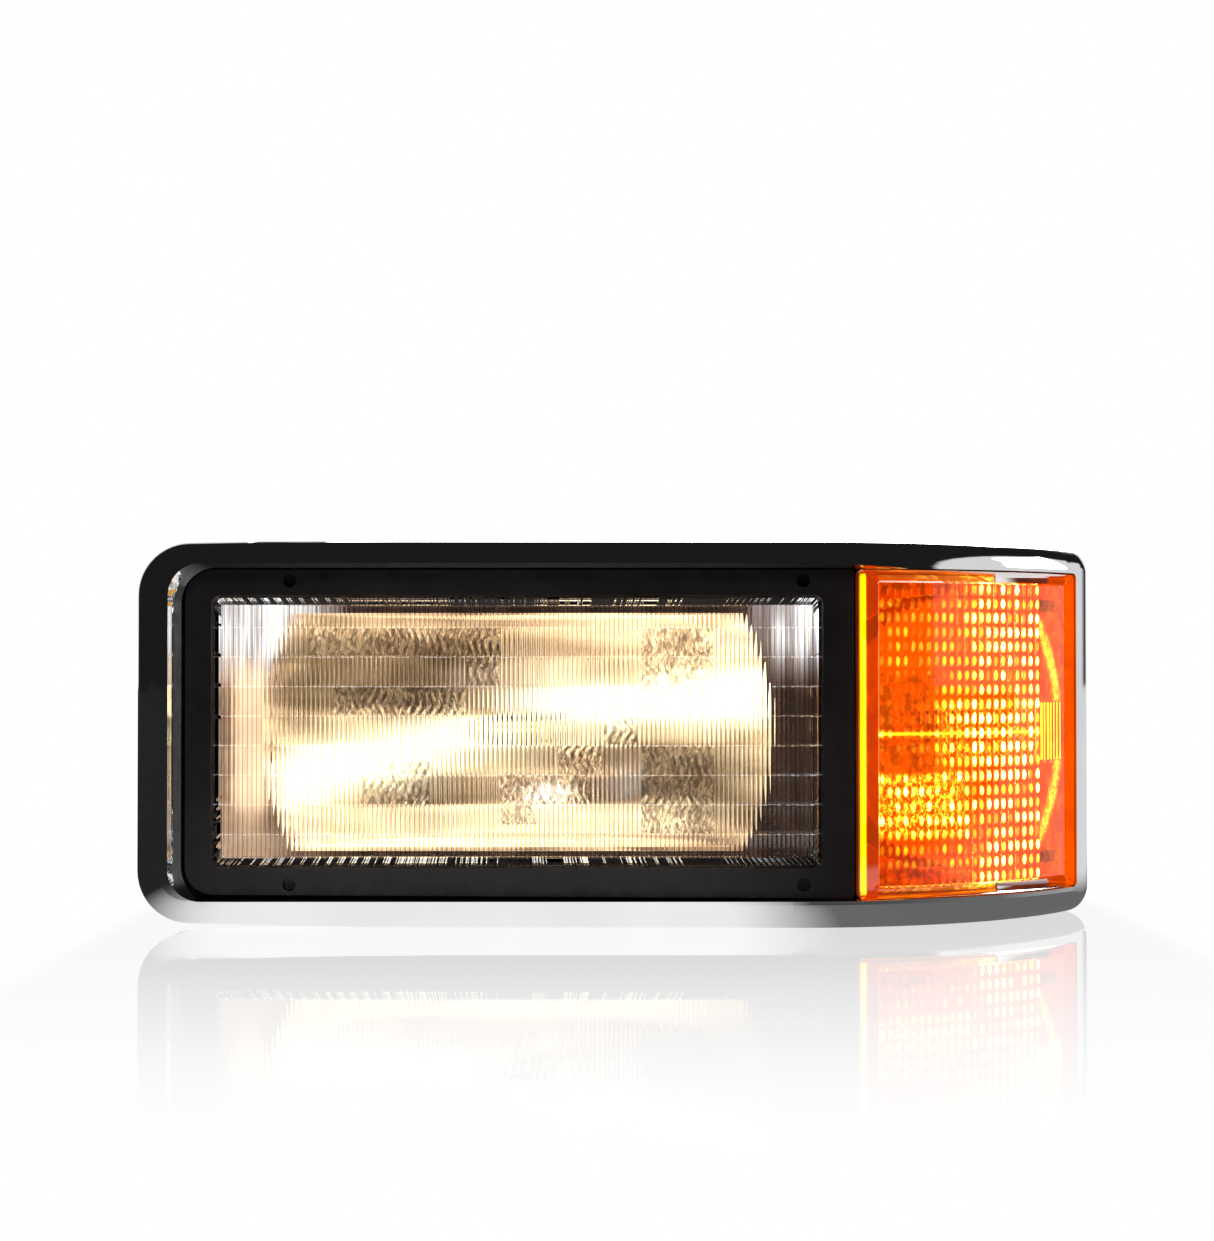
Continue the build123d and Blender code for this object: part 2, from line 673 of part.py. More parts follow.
def mounting_studs():
    inner_face = HOUSING_BACK - WALL
    with BuildPart() as studs:
        for x in STUD_X:
            for z in STUD_Z:
                bar(x, z, inner_face - STUD_HEAD, inner_face, STUD_HEAD_RADIUS)
                bar(x, z, inner_face, HOUSING_BACK, STUD_SHOULDER)
                bar(x, z, HOUSING_BACK, STUD_END, STUD_RADIUS)
    return studs.part


def mounting_inserts():
    with BuildPart() as inserts:
        for x in FOOT_X:
            post(x, FOOT_DEPTH, 0, INSERT_LENGTH, INSERT_RADIUS)
            post(x, FOOT_DEPTH, 0, INSERT_LENGTH, INSERT_BORE, mode=Mode.SUBTRACT)
    return inserts.part


def vent_tube():
    """Breather elbow on the rear wall that points down to keep water out."""
    x, z = VENT
    with BuildPart() as vent:
        with BuildLine(Plane.YZ.offset(x)) as route:
            run = Line((back(HOUSING_BACK), z), (back(HOUSING_BACK) + VENT_RUN, z))
            bend = JernArc(run @ 1, (1, 0), VENT_BEND, -90)
            Line(bend @ 1, (bend @ 1) + (0, -VENT_RUN))
        with BuildSketch(face_plane(HOUSING_BACK)):
            with Locations((x, z)):
                Circle(VENT_BORE + WALL)
                Circle(VENT_BORE, mode=Mode.SUBTRACT)
        sweep(path=route.wires()[0])
    return vent.part


# ---------- headlamp reflector and its sockets ----------
def rim_radius(extra):
    """Radius of the bowl where it meets the rim plane."""
    return sqrt(4 * FOCAL * (VERTEX + extra - RIM))


def mirror_space():
    """Space inside the bowl, flat above and below."""
    reach = rim_radius(BOWL_THICK)
    with BuildPart() as space:
        add(paraboloid(BEAM_X, BEAM_Z, VERTEX, FOCAL, rim_radius(0)))
        block(BEAM_X - reach, BEAM_X + reach, RIM, VERTEX, BEAM_Z - FLAT_HALF, BEAM_Z + FLAT_HALF,
              mode=Mode.INTERSECT)
    return space.part


def reflector():
    outer_rim = rim_radius(BOWL_THICK)
    flat = FLAT_HALF + WALL
    with BuildPart() as bowl:
        add(paraboloid(BEAM_X, BEAM_Z, VERTEX + BOWL_THICK, FOCAL, outer_rim))
        block(BEAM_X - outer_rim, BEAM_X + outer_rim, RIM, VERTEX + BOWL_THICK, BEAM_Z - flat, BEAM_Z + flat,
              mode=Mode.INTERSECT)
        slab(bowl_outline(outer_rim + RIM_FLANGE, flat + RIM_FLANGE), RIM, RIM + WALL)
        block(SIDE_BALL_X - CUP_HALF, SIDE_BALL_X + CUP_HALF, PIVOT_DEPTH - CUP_HALF, PIVOT_DEPTH + CUP_HALF,
              BEAM_Z - flat, BEAM_Z - FLAT_HALF + 2 * CUP_HALF)
        bar(BEAM_X, BEAM_Z, VERTEX - CUP_HALF, NECK_END, NECK_RADIUS)
        add(mirror_space(), mode=Mode.SUBTRACT)
        bar(BEAM_X, BEAM_Z, VERTEX - 3 * CUP_HALF, NECK_END, NECK_BORE, mode=Mode.SUBTRACT)
    return bowl.part


def pivot_socket():
    floor = PIVOT_Z - CUP_BELOW
    with BuildPart() as cup:
        block(BEAM_X - CUP_HALF, BEAM_X + CUP_HALF, PIVOT_DEPTH - CUP_HALF, PIVOT_DEPTH + CUP_HALF, floor,
              BEAM_Z - FLAT_HALF - WALL)
        ball(BEAM_X, PIVOT_DEPTH, PIVOT_Z, PIVOT_CUP, mode=Mode.SUBTRACT)
        post(BEAM_X, PIVOT_DEPTH, floor, PIVOT_Z, CUP_MOUTH, mode=Mode.SUBTRACT)
    return cup.part


def rod_socket(x, z, z0, z1):
    """Block on the reflector whose cup faces back and takes a rod's ball."""
    with BuildPart() as cup:
        block(x - CUP_HALF, x + CUP_HALF, PIVOT_DEPTH - CUP_HALF, PIVOT_DEPTH + CUP_BELOW, z0, z1)
        ball(x, PIVOT_DEPTH, z, ROD_CUP, mode=Mode.SUBTRACT)
        bar(x, z, PIVOT_DEPTH, PIVOT_DEPTH + CUP_BELOW, CUP_MOUTH, mode=Mode.SUBTRACT)
    return cup.part


def pivot_ball_stud():
    """Ball on a short upright stud that turns in the housing's floor."""
    with BuildPart() as stud:
        ball(BEAM_X, PIVOT_DEPTH, PIVOT_Z, BALL)
        post(BEAM_X, PIVOT_DEPTH, PIVOT_BOSS_FLOOR + 0.3, PIVOT_Z, ROD)
        post(BEAM_X, PIVOT_DEPTH, PIVOT_BOSS_TOP + 0.1, PIVOT_BOSS_TOP + PIVOT_COLLAR, KNOB_NECK)
    return stud.part


def aiming_rod(x, z):
    with BuildPart() as rod:
        ball(x, PIVOT_DEPTH, z, BALL)
        bar(x, z, PIVOT_DEPTH, ROD_END, ROD)
    return rod.part


def aiming_knob(x, z):
    """Ribbed knob whose neck turns in the bracket and whose bore drives the rod."""
    with BuildPart() as knob:
        bar(x, z, KNOB_FRONT, KNOB_BACK, KNOB_RADIUS)
        chamfer(knob.edges().filter_by(GeomType.CIRCLE), 1)
        bar(x, z, KNOB_FRONT - KNOB_NECK_LENGTH, KNOB_FRONT, KNOB_NECK)
        with Locations(Location(rear_plane(x, z, (KNOB_FRONT + KNOB_BACK) / 2))):
            with PolarLocations(KNOB_RADIUS + 0.5, KNOB_GROOVES):
                Cylinder(KNOB_GROOVE_RADIUS, 2 * KNOB_RADIUS, mode=Mode.SUBTRACT)
        bar(x, z, KNOB_FRONT - KNOB_NECK_LENGTH, KNOB_BACK, ROD_BORE, mode=Mode.SUBTRACT)
    return knob.part


def adjuster_bracket(x, z, z0, z1):
    """Plate on the rear wall with a collar that guides the rod and holds the knob's neck."""
    with BuildPart() as bracket:
        block(x - BRACKET_HALF, x + BRACKET_HALF, HOUSING_BACK, BRACKET_BACK, z0, z1)
        fillet(bracket.edges().filter_by(Axis.Y), BRACKET_ROUND)
        bar(x, z, HOUSING_BACK, KNOB_FRONT - 0.5, BRACKET_COLLAR)
        bar(x, z, HOUSING_BACK, KNOB_FRONT, ROD_BORE, mode=Mode.SUBTRACT)
        bar(x, z, KNOB_FRONT - KNOB_NECK_LENGTH - 0.4, KNOB_FRONT, KNOB_NECK + 0.3, mode=Mode.SUBTRACT)
        with Locations(*[Location(plane) for plane in bracket_screw_planes(HOUSING_BACK)]):
            Cylinder(SMALL_SCREW + GAP, 8 * WALL, mode=Mode.SUBTRACT)
    return bracket.part


# ---------- headlamp bulb, lock ring and boot ----------
def bulb_glass():
    tip = FILAMENT - GLASS_TIP
    inner = GLASS_RADIUS - GLASS_WALL
    with BuildPart() as glass:
        bar(BEAM_X, BEAM_Z, tip, GLASS_END, GLASS_RADIUS)
        ball(BEAM_X, tip, BEAM_Z, GLASS_RADIUS)
        bar(BEAM_X, BEAM_Z, tip, GLASS_END, inner, mode=Mode.SUBTRACT)
        ball(BEAM_X, tip, BEAM_Z, inner, mode=Mode.SUBTRACT)
    return glass.part


def filament_pair(x, z, depths, base_depth, coil_radius, spread):
    """Coiled filaments across the axis, each on two support wires."""
    coil_length = COIL_LENGTH
    turns = [(0, 0, coil_length * (turn / (COIL_TURNS - 1) - 0.5)) for turn in range(COIL_TURNS)]
    with BuildPart() as wires:
        for depth, lift in depths:
            with Locations(Location((x, back(depth), z + lift), (0, 90, 0))):
                with Locations(*turns):
                    Torus(coil_radius, coil_length / (2 * COIL_TURNS))
                Cylinder(coil_radius - coil_length / (4 * COIL_TURNS), coil_length)
            for side in (-1, 1):
                bar(x + side * spread, z + lift, depth, base_depth, WIRE)
                middle = x + side * (spread + coil_length / 2) / 2
                with Locations(Location((middle, back(depth), z + lift), (0, 90, 0))):
                    Cylinder(WIRE, abs(spread - coil_length / 2) + 2 * WIRE)
    return wires.part


def bulb_base():
    plug_x, plug_z = PLUG_HALF
    inner_x = plug_x - PLUG_WALL
    inner_z = plug_z - PLUG_WALL
    with BuildPart() as base:
        bar(BEAM_X, BEAM_Z, STEM_FRONT, COLLAR_FRONT, STEM_RADIUS)
        bar(BEAM_X, BEAM_Z, COLLAR_FRONT, NECK_END, COLLAR_RADIUS)
        bar(BEAM_X, BEAM_Z, NECK_END, BASE_FLANGE_BACK, BASE_FLANGE)
        bar(BEAM_X, BEAM_Z, BASE_FLANGE_BACK, PLUG_FRONT, BASE_BODY)
        block(BEAM_X - plug_x, BEAM_X + plug_x, PLUG_FRONT, DEPTH, BEAM_Z - plug_z, BEAM_Z + plug_z)
        block(BEAM_X - inner_x, BEAM_X + inner_x, PLUG_FRONT + PLUG_WALL, DEPTH,
              BEAM_Z - inner_z, BEAM_Z + inner_z, mode=Mode.SUBTRACT)
        bar(BEAM_X, BEAM_Z, STEM_FRONT, GLASS_END, GLASS_RADIUS + GAP, mode=Mode.SUBTRACT)
    groove = ring_profile(BEAM_X, BEAM_Z, [(SEAL_GROOVE, SEAL[0]), (COLLAR_RADIUS + 1, SEAL[0]),
                                           (COLLAR_RADIUS + 1, SEAL[1]), (SEAL_GROOVE, SEAL[1])])
    with BuildPart() as grooved:
        add(base.part)
        add(groove, mode=Mode.SUBTRACT)
    return grooved.part


def bulb_seal_ring():
    inner = SEAL_GROOVE + GAP
    outer = NECK_BORE - GAP
    return ring_profile(BEAM_X, BEAM_Z, [(inner, SEAL[0] + GAP), (outer, SEAL[0] + GAP),
                                         (outer, SEAL[1] - GAP), (inner, SEAL[1] - GAP)])


def blades(x, z, front, rear, spots):
    """Flat connector terminals."""
    with BuildPart() as terminals:
        for dx, dz, half_x, half_z in spots:
            block(x + dx - half_x, x + dx + half_x, front, rear, z + dz - half_z, z + dz + half_z)
    return terminals.part


def bulb_lock_ring():
    inner, outer = LOCK_WALL
    front, rear = LOCK_DEPTHS
    lip_front = rear - LOCK_LIP
    lip = LOCK_LIP_RADIUS
    cup = ring_profile(BEAM_X, BEAM_Z, [(inner, front), (outer, front), (outer, rear), (lip, rear),
                                        (lip, lip_front), (inner, lip_front)])
    with BuildPart() as ring:
        add(cup)
        with Locations(Location(rear_plane(BEAM_X, BEAM_Z, rear))):
            with PolarLocations(outer + 1, 3):
                Box(*LOCK_TAB, rear - front, align=ABOVE)
    return ring.part


def bulb_boot():
    """Rubber cover from the housing's rear hole to the back of the bulb's base."""
    inner = BASE_BODY + 0.3
    collar = inner + WALL
    neck_front = LOCK_DEPTHS[1] + 3
    neck_back = neck_front + BOOT_COLLAR
    lip_front = BULGE_BACK + 0.4
    lip_back = lip_front + BOOT_THICK
    slant_near, slant_far = BOOT_SLANT
    return ring_profile(BEAM_X, BEAM_Z, [
        (inner, neck_front), (inner, neck_back), (collar, neck_back), (collar, neck_front + BOOT_THICK),
        (slant_near + 0.5, neck_front + BOOT_THICK), (slant_far + 0.8, lip_back), (BOOT_RADIUS, lip_back),
        (BOOT_RADIUS, lip_front), (slant_far, lip_front), (slant_near, neck_front)])


def boot_retainer():
    recess_back = BULGE_BACK + RETAINER_FLOOR
    ring = ring_profile(BEAM_X, BEAM_Z, [
        (RETAINER_RECESS, BULGE_BACK), (RETAINER_OUTER, BULGE_BACK), (RETAINER_OUTER, RETAINER_BACK),
        (RETAINER_INNER, RETAINER_BACK), (RETAINER_INNER, recess_back), (RETAINER_RECESS, recess_back)])
    ears = retainer_screw_planes(BULGE_BACK)
    with BuildPart() as retainer:
        add(ring)
        with Locations(*[Location(plane) for plane in ears]):
            Cylinder(EAR_RADIUS, EAR_THICK, align=BELOW)
        bar(BEAM_X, BEAM_Z, BULGE_BACK, recess_back, RETAINER_RECESS, mode=Mode.SUBTRACT)
        with Locations(*[Location(plane) for plane in ears]):
            Cylinder(SMALL_SCREW + GAP, 8 * WALL, mode=Mode.SUBTRACT)
    return retainer.part


def boot_retainer_screws():
    seats = retainer_screw_planes(BULGE_BACK + EAR_THICK)
    return screw_group(seats, SMALL_SCREW, RETAINER_SCREW_LENGTH, *SMALL_HEAD)


# ---------- turn signal ----------
def turn_outline(grow):
    """Front outline of the turn signal, grown all round, with its outer corners rounded."""
    x0, x1, z0, z1 = TURN
    with BuildSketch(Plane.XY) as outline:
        with Locations(((x0 + x1) / 2, (z0 + z1) / 2)):
            Rectangle(x1 - x0 + 2 * grow, z1 - z0 + 2 * grow)
        fillet(outline.vertices().group_by(Axis.X)[-1], OPENING_ROUND_RIGHT)
    return outline.sketch


def turn_band(front_curve, front_inset, rear_inset, grow):
    """Slice of the turn signal between two curves, with its outline grown all round."""
    with BuildPart() as band:
        add(raised(plan_sketch(front_curve, front_inset, rear_inset, 0, TURN[1] + grow), 0, HEIGHT))
        slab(turn_outline(grow), 0, FAR_BACK, mode=Mode.INTERSECT)
    return band.part


def turn_lens():
    with BuildPart() as lens:
        add(turn_band(skin_curve, TURN_FACE, TURN_SEAT, 0))
        add(turn_band(skin_curve, TURN_FACE + WALL, TURN_SEAT + 1, -WALL), mode=Mode.SUBTRACT)
    return lens.part


def turn_lens_gasket():
    with BuildPart() as gasket:
        add(turn_band(seat_curve, TURN_SEAT + GAP, TURN_FRONT - GAP, -0.2))
        add(turn_band(seat_curve, TURN_SEAT - 1, TURN_FRONT + 1, -WALL - 0.5), mode=Mode.SUBTRACT)
    return gasket.part


def turn_box(inset, grow, depth):
    x0, x1, z0, z1 = TURN
    with BuildPart() as box:
        add(raised(behind_seat_sketch(inset, depth, 0, x1 + grow), z0 + WALL - grow, z1 - WALL + grow))
        block(x0 - grow, HALF_WIDTH, 0, FAR_BACK, 0, HEIGHT, mode=Mode.INTERSECT)
    return box.part


def turn_housing():
    lugs = turn_screw_planes(TURN_LUG)
    with BuildPart() as housing:
        add(turn_box(TURN_FRONT, 0, TURN_BACK))
        add(turn_band(seat_curve, FLANGE, TURN_LUG, TURN_FLANGE))
        with Locations(*[Location(plane) for plane in lugs]):
            Cylinder(LUG_RADIUS, CARRIER - FLANGE, align=ABOVE)
        add(turn_box(TURN_FRONT - 1, -WALL, TURN_BACK - WALL), mode=Mode.SUBTRACT)
        for z in TURN_SCREW_Z:
            bar(TURN_SCREW_X, z, TURN_POST_FRONT, TURN_BACK - 1, KNOB_NECK)
            bar(TURN_SCREW_X, z, TURN_SCREW_SEAT, TURN_BACK - 2 * WALL, SMALL_SCREW + GAP, mode=Mode.SUBTRACT)
        bar(TURN_AXIS_X, BEAM_Z, TURN_BACK - WALL, TURN_BACK, SOCKET_HOLE, mode=Mode.SUBTRACT)
        with Locations(*[Location(plane) for plane in lugs]):
            Cylinder(SCREW + GAP, 4 * CARRIER_THICK, mode=Mode.SUBTRACT)
    return housing.part


def turn_plate():
    """Curved mirror plate round the turn signal's bowl."""
    edge = 2 * WALL + 0.5
    with BuildPart() as plate:
        add(turn_band(seat_curve, TURN_PLATE, TURN_PLATE + TURN_PLATE_THICK, -WALL - 0.5))
        block(0, HALF_WIDTH, 0, FAR_BACK, TURN[2] + edge, TURN[3] - edge, mode=Mode.INTERSECT)
    return plate.part


def turn_reflector():
    """Bowl in its mirror plate, with a screw seat above and below."""
    behind = turn_box(TURN_PLATE, -WALL - 0.5, TURN_BACK - WALL - 1)
    with BuildPart() as bowl:
        add(paraboloid(TURN_AXIS_X, BEAM_Z, TURN_VERTEX + TURN_PLATE_THICK, TURN_FOCAL, TURN_BOWL + 2))
        add(behind, mode=Mode.INTERSECT)
        add(turn_plate())
        for z in TURN_SCREW_Z:
            bar(TURN_SCREW_X, z, TURN_SCREW_SEAT - TURN_WELL_DEPTH, TURN_POST_FRONT, TURN_WELL + 1.5)
        add(paraboloid(TURN_AXIS_X, BEAM_Z, TURN_VERTEX, TURN_FOCAL, 1.5 * TURN_BOWL), mode=Mode.SUBTRACT)
        for z in TURN_SCREW_Z:
            bar(TURN_SCREW_X, z, 0, TURN_SCREW_SEAT, TURN_WELL, mode=Mode.SUBTRACT)
            bar(TURN_SCREW_X, z, 0, TURN_BACK, SMALL_SCREW + GAP, mode=Mode.SUBTRACT)
        bar(TURN_AXIS_X, BEAM_Z, TURN_VERTEX - 20, TURN_BACK, SOCKET_HOLE, mode=Mode.SUBTRACT)
    return bowl.part


def turn_socket():
    """Twist-in bulb holder with a grip behind the housing."""
    x, z = TURN_AXIS_X, BEAM_Z
    flange_back = SOCKET_FLANGE + 3
    wing_x, wing_z = SOCKET_WING
    plug_x, plug_z = SOCKET_PLUG
    with BuildPart() as socket:
        bar(x, z, SOCKET_FRONT, flange_back, SOCKET_RADIUS)
        bar(x, z, SOCKET_FLANGE, flange_back, SOCKET_RIM)
        bar(x, z, flange_back, SOCKET_END, SOCKET_GRIP)
        block(x - wing_x, x + wing_x, flange_back, SOCKET_END - 4, z - wing_z, z + wing_z)
        block(x - plug_x, x + plug_x, SOCKET_PLUG_FRONT, SOCKET_END, z - plug_z, z + plug_z,
              mode=Mode.SUBTRACT)
        bar(x, z, SOCKET_FRONT, CAP_BACK + 0.5, TURN_CAP_RADIUS + 0.1, mode=Mode.SUBTRACT)
    return socket.part


def turn_socket_gasket():
    inner = SOCKET_RADIUS + 0.3
    outer = SOCKET_RIM - 2
    front = TURN_BACK + GAP
    rear = SOCKET_FLANGE - GAP
    return ring_profile(TURN_AXIS_X, BEAM_Z, [(inner, front), (outer, front), (outer, rear), (inner, rear)])


def turn_reflector_screws():
    seats = [Plane(origin=(TURN_SCREW_X, back(TURN_SCREW_SEAT), z), z_dir=(0, -1, 0)) for z in TURN_SCREW_Z]
    return screw_group(seats, SMALL_SCREW, TURN_SCREW_LENGTH, *SCREW_HEAD)


def turn_bulb_base():
    with BuildPart() as cap:
        bar(TURN_AXIS_X, BEAM_Z, CAP_FRONT, CAP_BACK, TURN_CAP_RADIUS)
        bar(TURN_AXIS_X, BEAM_Z, CAP_FRONT, CAP_SEAT, TURN_CAP_RADIUS - GLASS_WALL, mode=Mode.SUBTRACT)
    return cap.part


def turn_bulb_glass():
    """Pear-shaped glass: a ball on a neck, hollow."""
    x, z = TURN_AXIS_X, BEAM_Z
    neck = TURN_CAP_RADIUS - GLASS_WALL - 0.1
    with BuildPart() as glass:
        ball(x, TURN_GLASS_DEPTH, z, TURN_GLASS_RADIUS)
        bar(x, z, TURN_GLASS_DEPTH, CAP_SEAT - 0.2, neck)
        ball(x, TURN_GLASS_DEPTH, z, TURN_GLASS_RADIUS - GLASS_WALL, mode=Mode.SUBTRACT)
        bar(x, z, TURN_GLASS_DEPTH, CAP_SEAT - 1, neck - GLASS_WALL, mode=Mode.SUBTRACT)
    return glass.part


# ---------- write every piece ----------

save(chrome_bezel(), "chrome_bezel")
save(screw_group(bezel_screw_planes(CARRIER_BACK), SCREW, BEZEL_SCREW_LENGTH, *SCREW_HEAD), "bezel_screws")
save(carrier_plate(), "carrier_plate")
save(screw_group(flange_screw_planes(CARRIER_BACK), SCREW, FLANGE_SCREW_LENGTH, *SCREW_HEAD),
     "housing_screws")
save(screw_group(turn_screw_planes(CARRIER_BACK), SCREW, FLANGE_SCREW_LENGTH, *SCREW_HEAD),
     "turn_housing_screws")
save(trim_frame(), "trim_frame")
save(screw_group(trim_screw_planes(), SCREW, TRIM_SCREW_LENGTH, *SCREW_HEAD), "trim_frame_screws")
save(headlamp_lens(), "headlamp_lens")
save(lens_gasket(), "lens_gasket")
save(inner_bezel(), "inner_bezel")
save(lamp_housing(), "lamp_housing")
save(mounting_studs(), "mounting_studs")
save(mounting_inserts(), "mounting_inserts")
save(vent_tube(), "vent_tube")
save(reflector(), "reflector")
save(pivot_socket(), "pivot_socket")
save(pivot_ball_stud(), "pivot_ball_stud")
save(rod_socket(BEAM_X, TOP_BALL_Z, BEAM_Z + FLAT_HALF + WALL, TOP_BALL_Z + CUP_HALF), "vertical_socket")
save(rod_socket(SIDE_BALL_X, PIVOT_Z, PIVOT_Z - CUP_HALF, BEAM_Z - FLAT_HALF - WALL), "horizontal_socket")
save(aiming_rod(BEAM_X, TOP_BALL_Z), "vertical_rod")
save(aiming_rod(SIDE_BALL_X, PIVOT_Z), "horizontal_rod")
save(aiming_knob(BEAM_X, TOP_BALL_Z), "vertical_knob")
save(aiming_knob(SIDE_BALL_X, PIVOT_Z), "horizontal_knob")
save(adjuster_bracket(BEAM_X, TOP_BALL_Z, TOP_BALL_Z - BRACKET_NEAR, TOP_BALL_Z + BRACKET_FAR),
     "vertical_adjuster_bracket")
save(adjuster_bracket(SIDE_BALL_X, PIVOT_Z, PIVOT_Z - BRACKET_FAR, PIVOT_Z + BRACKET_NEAR),
     "horizontal_adjuster_bracket")
save(screw_group(bracket_screw_planes(BRACKET_BACK), SMALL_SCREW, BRACKET_SCREW_LENGTH, *SMALL_HEAD),
     "adjuster_bracket_screws")
save(bulb_glass(), "bulb_glass")
save(filament_pair(BEAM_X, BEAM_Z, FILAMENT_SPOTS, STEM_FRONT + 12, 0.8, 3.5), "bulb_filaments")
save(bulb_base(), "bulb_base")
save(blades(BEAM_X, BEAM_Z, PLUG_FRONT + PLUG_WALL, DEPTH - 3, PLUG_BLADES), "bulb_terminals")
save(bulb_seal_ring(), "bulb_seal_ring")
save(bulb_lock_ring(), "bulb_lock_ring")
save(bulb_boot(), "bulb_boot")
save(boot_retainer(), "boot_retainer")
save(boot_retainer_screws(), "boot_retainer_screws")
save(turn_lens(), "turn_lens")
save(turn_lens_gasket(), "turn_lens_gasket")
save(turn_housing(), "turn_housing")
save(turn_reflector(), "turn_reflector")
save(turn_socket(), "turn_socket")
save(turn_socket_gasket(), "turn_socket_gasket")
save(turn_bulb_base(), "turn_bulb_base")
save(turn_bulb_glass(), "turn_bulb_glass")
save(filament_pair(TURN_AXIS_X, BEAM_Z, ((TURN_GLASS_DEPTH, 0.0),), CAP_SEAT - 1, 0.7, 3.0),
     "turn_bulb_filaments")
save(blades(TURN_AXIS_X, BEAM_Z, SOCKET_PLUG_FRONT, SOCKET_END - 2, TURN_BLADES), "turn_socket_terminals")
save(turn_reflector_screws(), "turn_reflector_screws")
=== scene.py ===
"""Looks of the truck headlight: lit reflectors behind moulded lenses in a chrome bezel, on a pale floor."""

import json
import math

import bpy
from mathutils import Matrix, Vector


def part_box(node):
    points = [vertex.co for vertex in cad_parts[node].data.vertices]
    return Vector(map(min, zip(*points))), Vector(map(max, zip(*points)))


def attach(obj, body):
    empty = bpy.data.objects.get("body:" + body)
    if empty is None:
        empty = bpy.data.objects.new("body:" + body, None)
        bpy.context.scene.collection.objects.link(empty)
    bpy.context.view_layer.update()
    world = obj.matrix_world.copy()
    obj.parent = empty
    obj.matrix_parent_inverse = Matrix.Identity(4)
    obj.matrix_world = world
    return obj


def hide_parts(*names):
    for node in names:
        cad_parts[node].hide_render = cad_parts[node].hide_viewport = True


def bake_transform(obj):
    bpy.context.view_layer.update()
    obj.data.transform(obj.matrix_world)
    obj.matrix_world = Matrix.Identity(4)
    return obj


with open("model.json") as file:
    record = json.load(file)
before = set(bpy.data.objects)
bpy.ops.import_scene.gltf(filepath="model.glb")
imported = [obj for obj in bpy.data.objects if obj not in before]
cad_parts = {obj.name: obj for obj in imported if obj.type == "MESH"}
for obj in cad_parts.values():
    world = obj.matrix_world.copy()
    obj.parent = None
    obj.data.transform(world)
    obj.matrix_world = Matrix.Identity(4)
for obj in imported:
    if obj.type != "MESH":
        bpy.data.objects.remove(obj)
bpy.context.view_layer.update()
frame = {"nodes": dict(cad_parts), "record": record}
MM = 0.001

# ---- places taken from the frame ----
BEZEL_LOW, BEZEL_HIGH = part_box("chrome_bezel")
LENS_LOW, LENS_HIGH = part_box("headlamp_lens")
TURN_LOW, TURN_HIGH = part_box("turn_lens")
BOWL_LOW, BOWL_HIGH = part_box("reflector")
SOCKET_LOW, SOCKET_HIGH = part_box("turn_socket")
BOOT_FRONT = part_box("bulb_boot")[0].y
FRONT = BEZEL_LOW.y
BEAM_X = (BOWL_LOW.x + BOWL_HIGH.x) / 2
BEAM_Z = (BOWL_LOW.z + BOWL_HIGH.z) / 2
TURN_X = (SOCKET_LOW.x + SOCKET_HIGH.x) / 2

# ---- plan curve of the face, as in the CAD ----
ARC_X = 105 * MM
ARC_RADIUS = 244 * MM
SEAT_HEADING = math.radians(45)

# ---- clear lens: vertical flutes in rows, with plain blocks (x0, x1, z0, z1 in mm) of rippled optics ----
LENS_RIM = 4 * MM
LENS_WALL = 3.5 * MM
LENS_RIM_THICK = 3 * MM
LENS_FIELD_INSET = 6.4 * MM
LENS_FACE_INSET = 0.4 * MM
LENS_CHAMFER = 0.5 * MM
LENS_FACE_CORNER = 6.1 * MM
LENS_RIM_CORNER = 10.5 * MM
LENS_POCKET_CORNER = 3.0 * MM
FLUTE = 3.0 * MM
FLUTE_STEPS = 6
FLUTE_SAG = 0.55 * MM
FLUTE_LEAN = 0.35
ROW = 19.1 * MM
ROW_BASE = 60.2 * MM
ROW_STEP = 0.2 * MM
ROW_EDGE = 0.03
ROW_STEPS = 12
LENS_BLOCKS = (
    (8.4, 54.5, 137, 193.3), (-15.9, 5.2, 118.4, 135.7), (-45.4, -17.2, 99, 117), (-82.5, -24.9, 80, 98.5),
    (-82.5, -59.4, 67, 79.5), (8.4, 55.1, 61, 117), (-104.9, -83.8, 156.5, 174.7), (-173, -129, 80, 108),
    (-206.6, -82.5, 176, 193.3), (-191, -106, 138.5, 155.5),
)

# ---- amber lens: pillow optics, then a smooth strip with a small ribbed block ----
PILLOWS = (TURN_LOW.x + 13 * MM, TURN_HIGH.x - 9 * MM, TURN_LOW.z + 7 * MM, TURN_HIGH.z - 7 * MM)
PILLOW_COLUMNS = 26
PILLOW_ROWS = 21
PILLOW_X = (PILLOWS[1] - PILLOWS[0]) / PILLOW_COLUMNS
PILLOW_Z = (PILLOWS[3] - PILLOWS[2]) / PILLOW_ROWS
PILLOW_END = PILLOWS[1] - 22 * MM
PILLOW_MIDDLE = (PILLOWS[2] + PILLOWS[3]) / 2
PILLOW_STEPS = 6
PILLOW_SAG = 0.9 * MM
BLOCK_HALF = 19 * MM
BLOCK_WIDE = 12 * MM
TURN_FACE = 3 * MM
TURN_WALL = 2.5 * MM
TURN_SEAT = 19 * MM
TURN_CHAMFER = 0.6 * MM
TURN_CORNERS = (2.4 * MM, 3 * MM, 1 * MM)

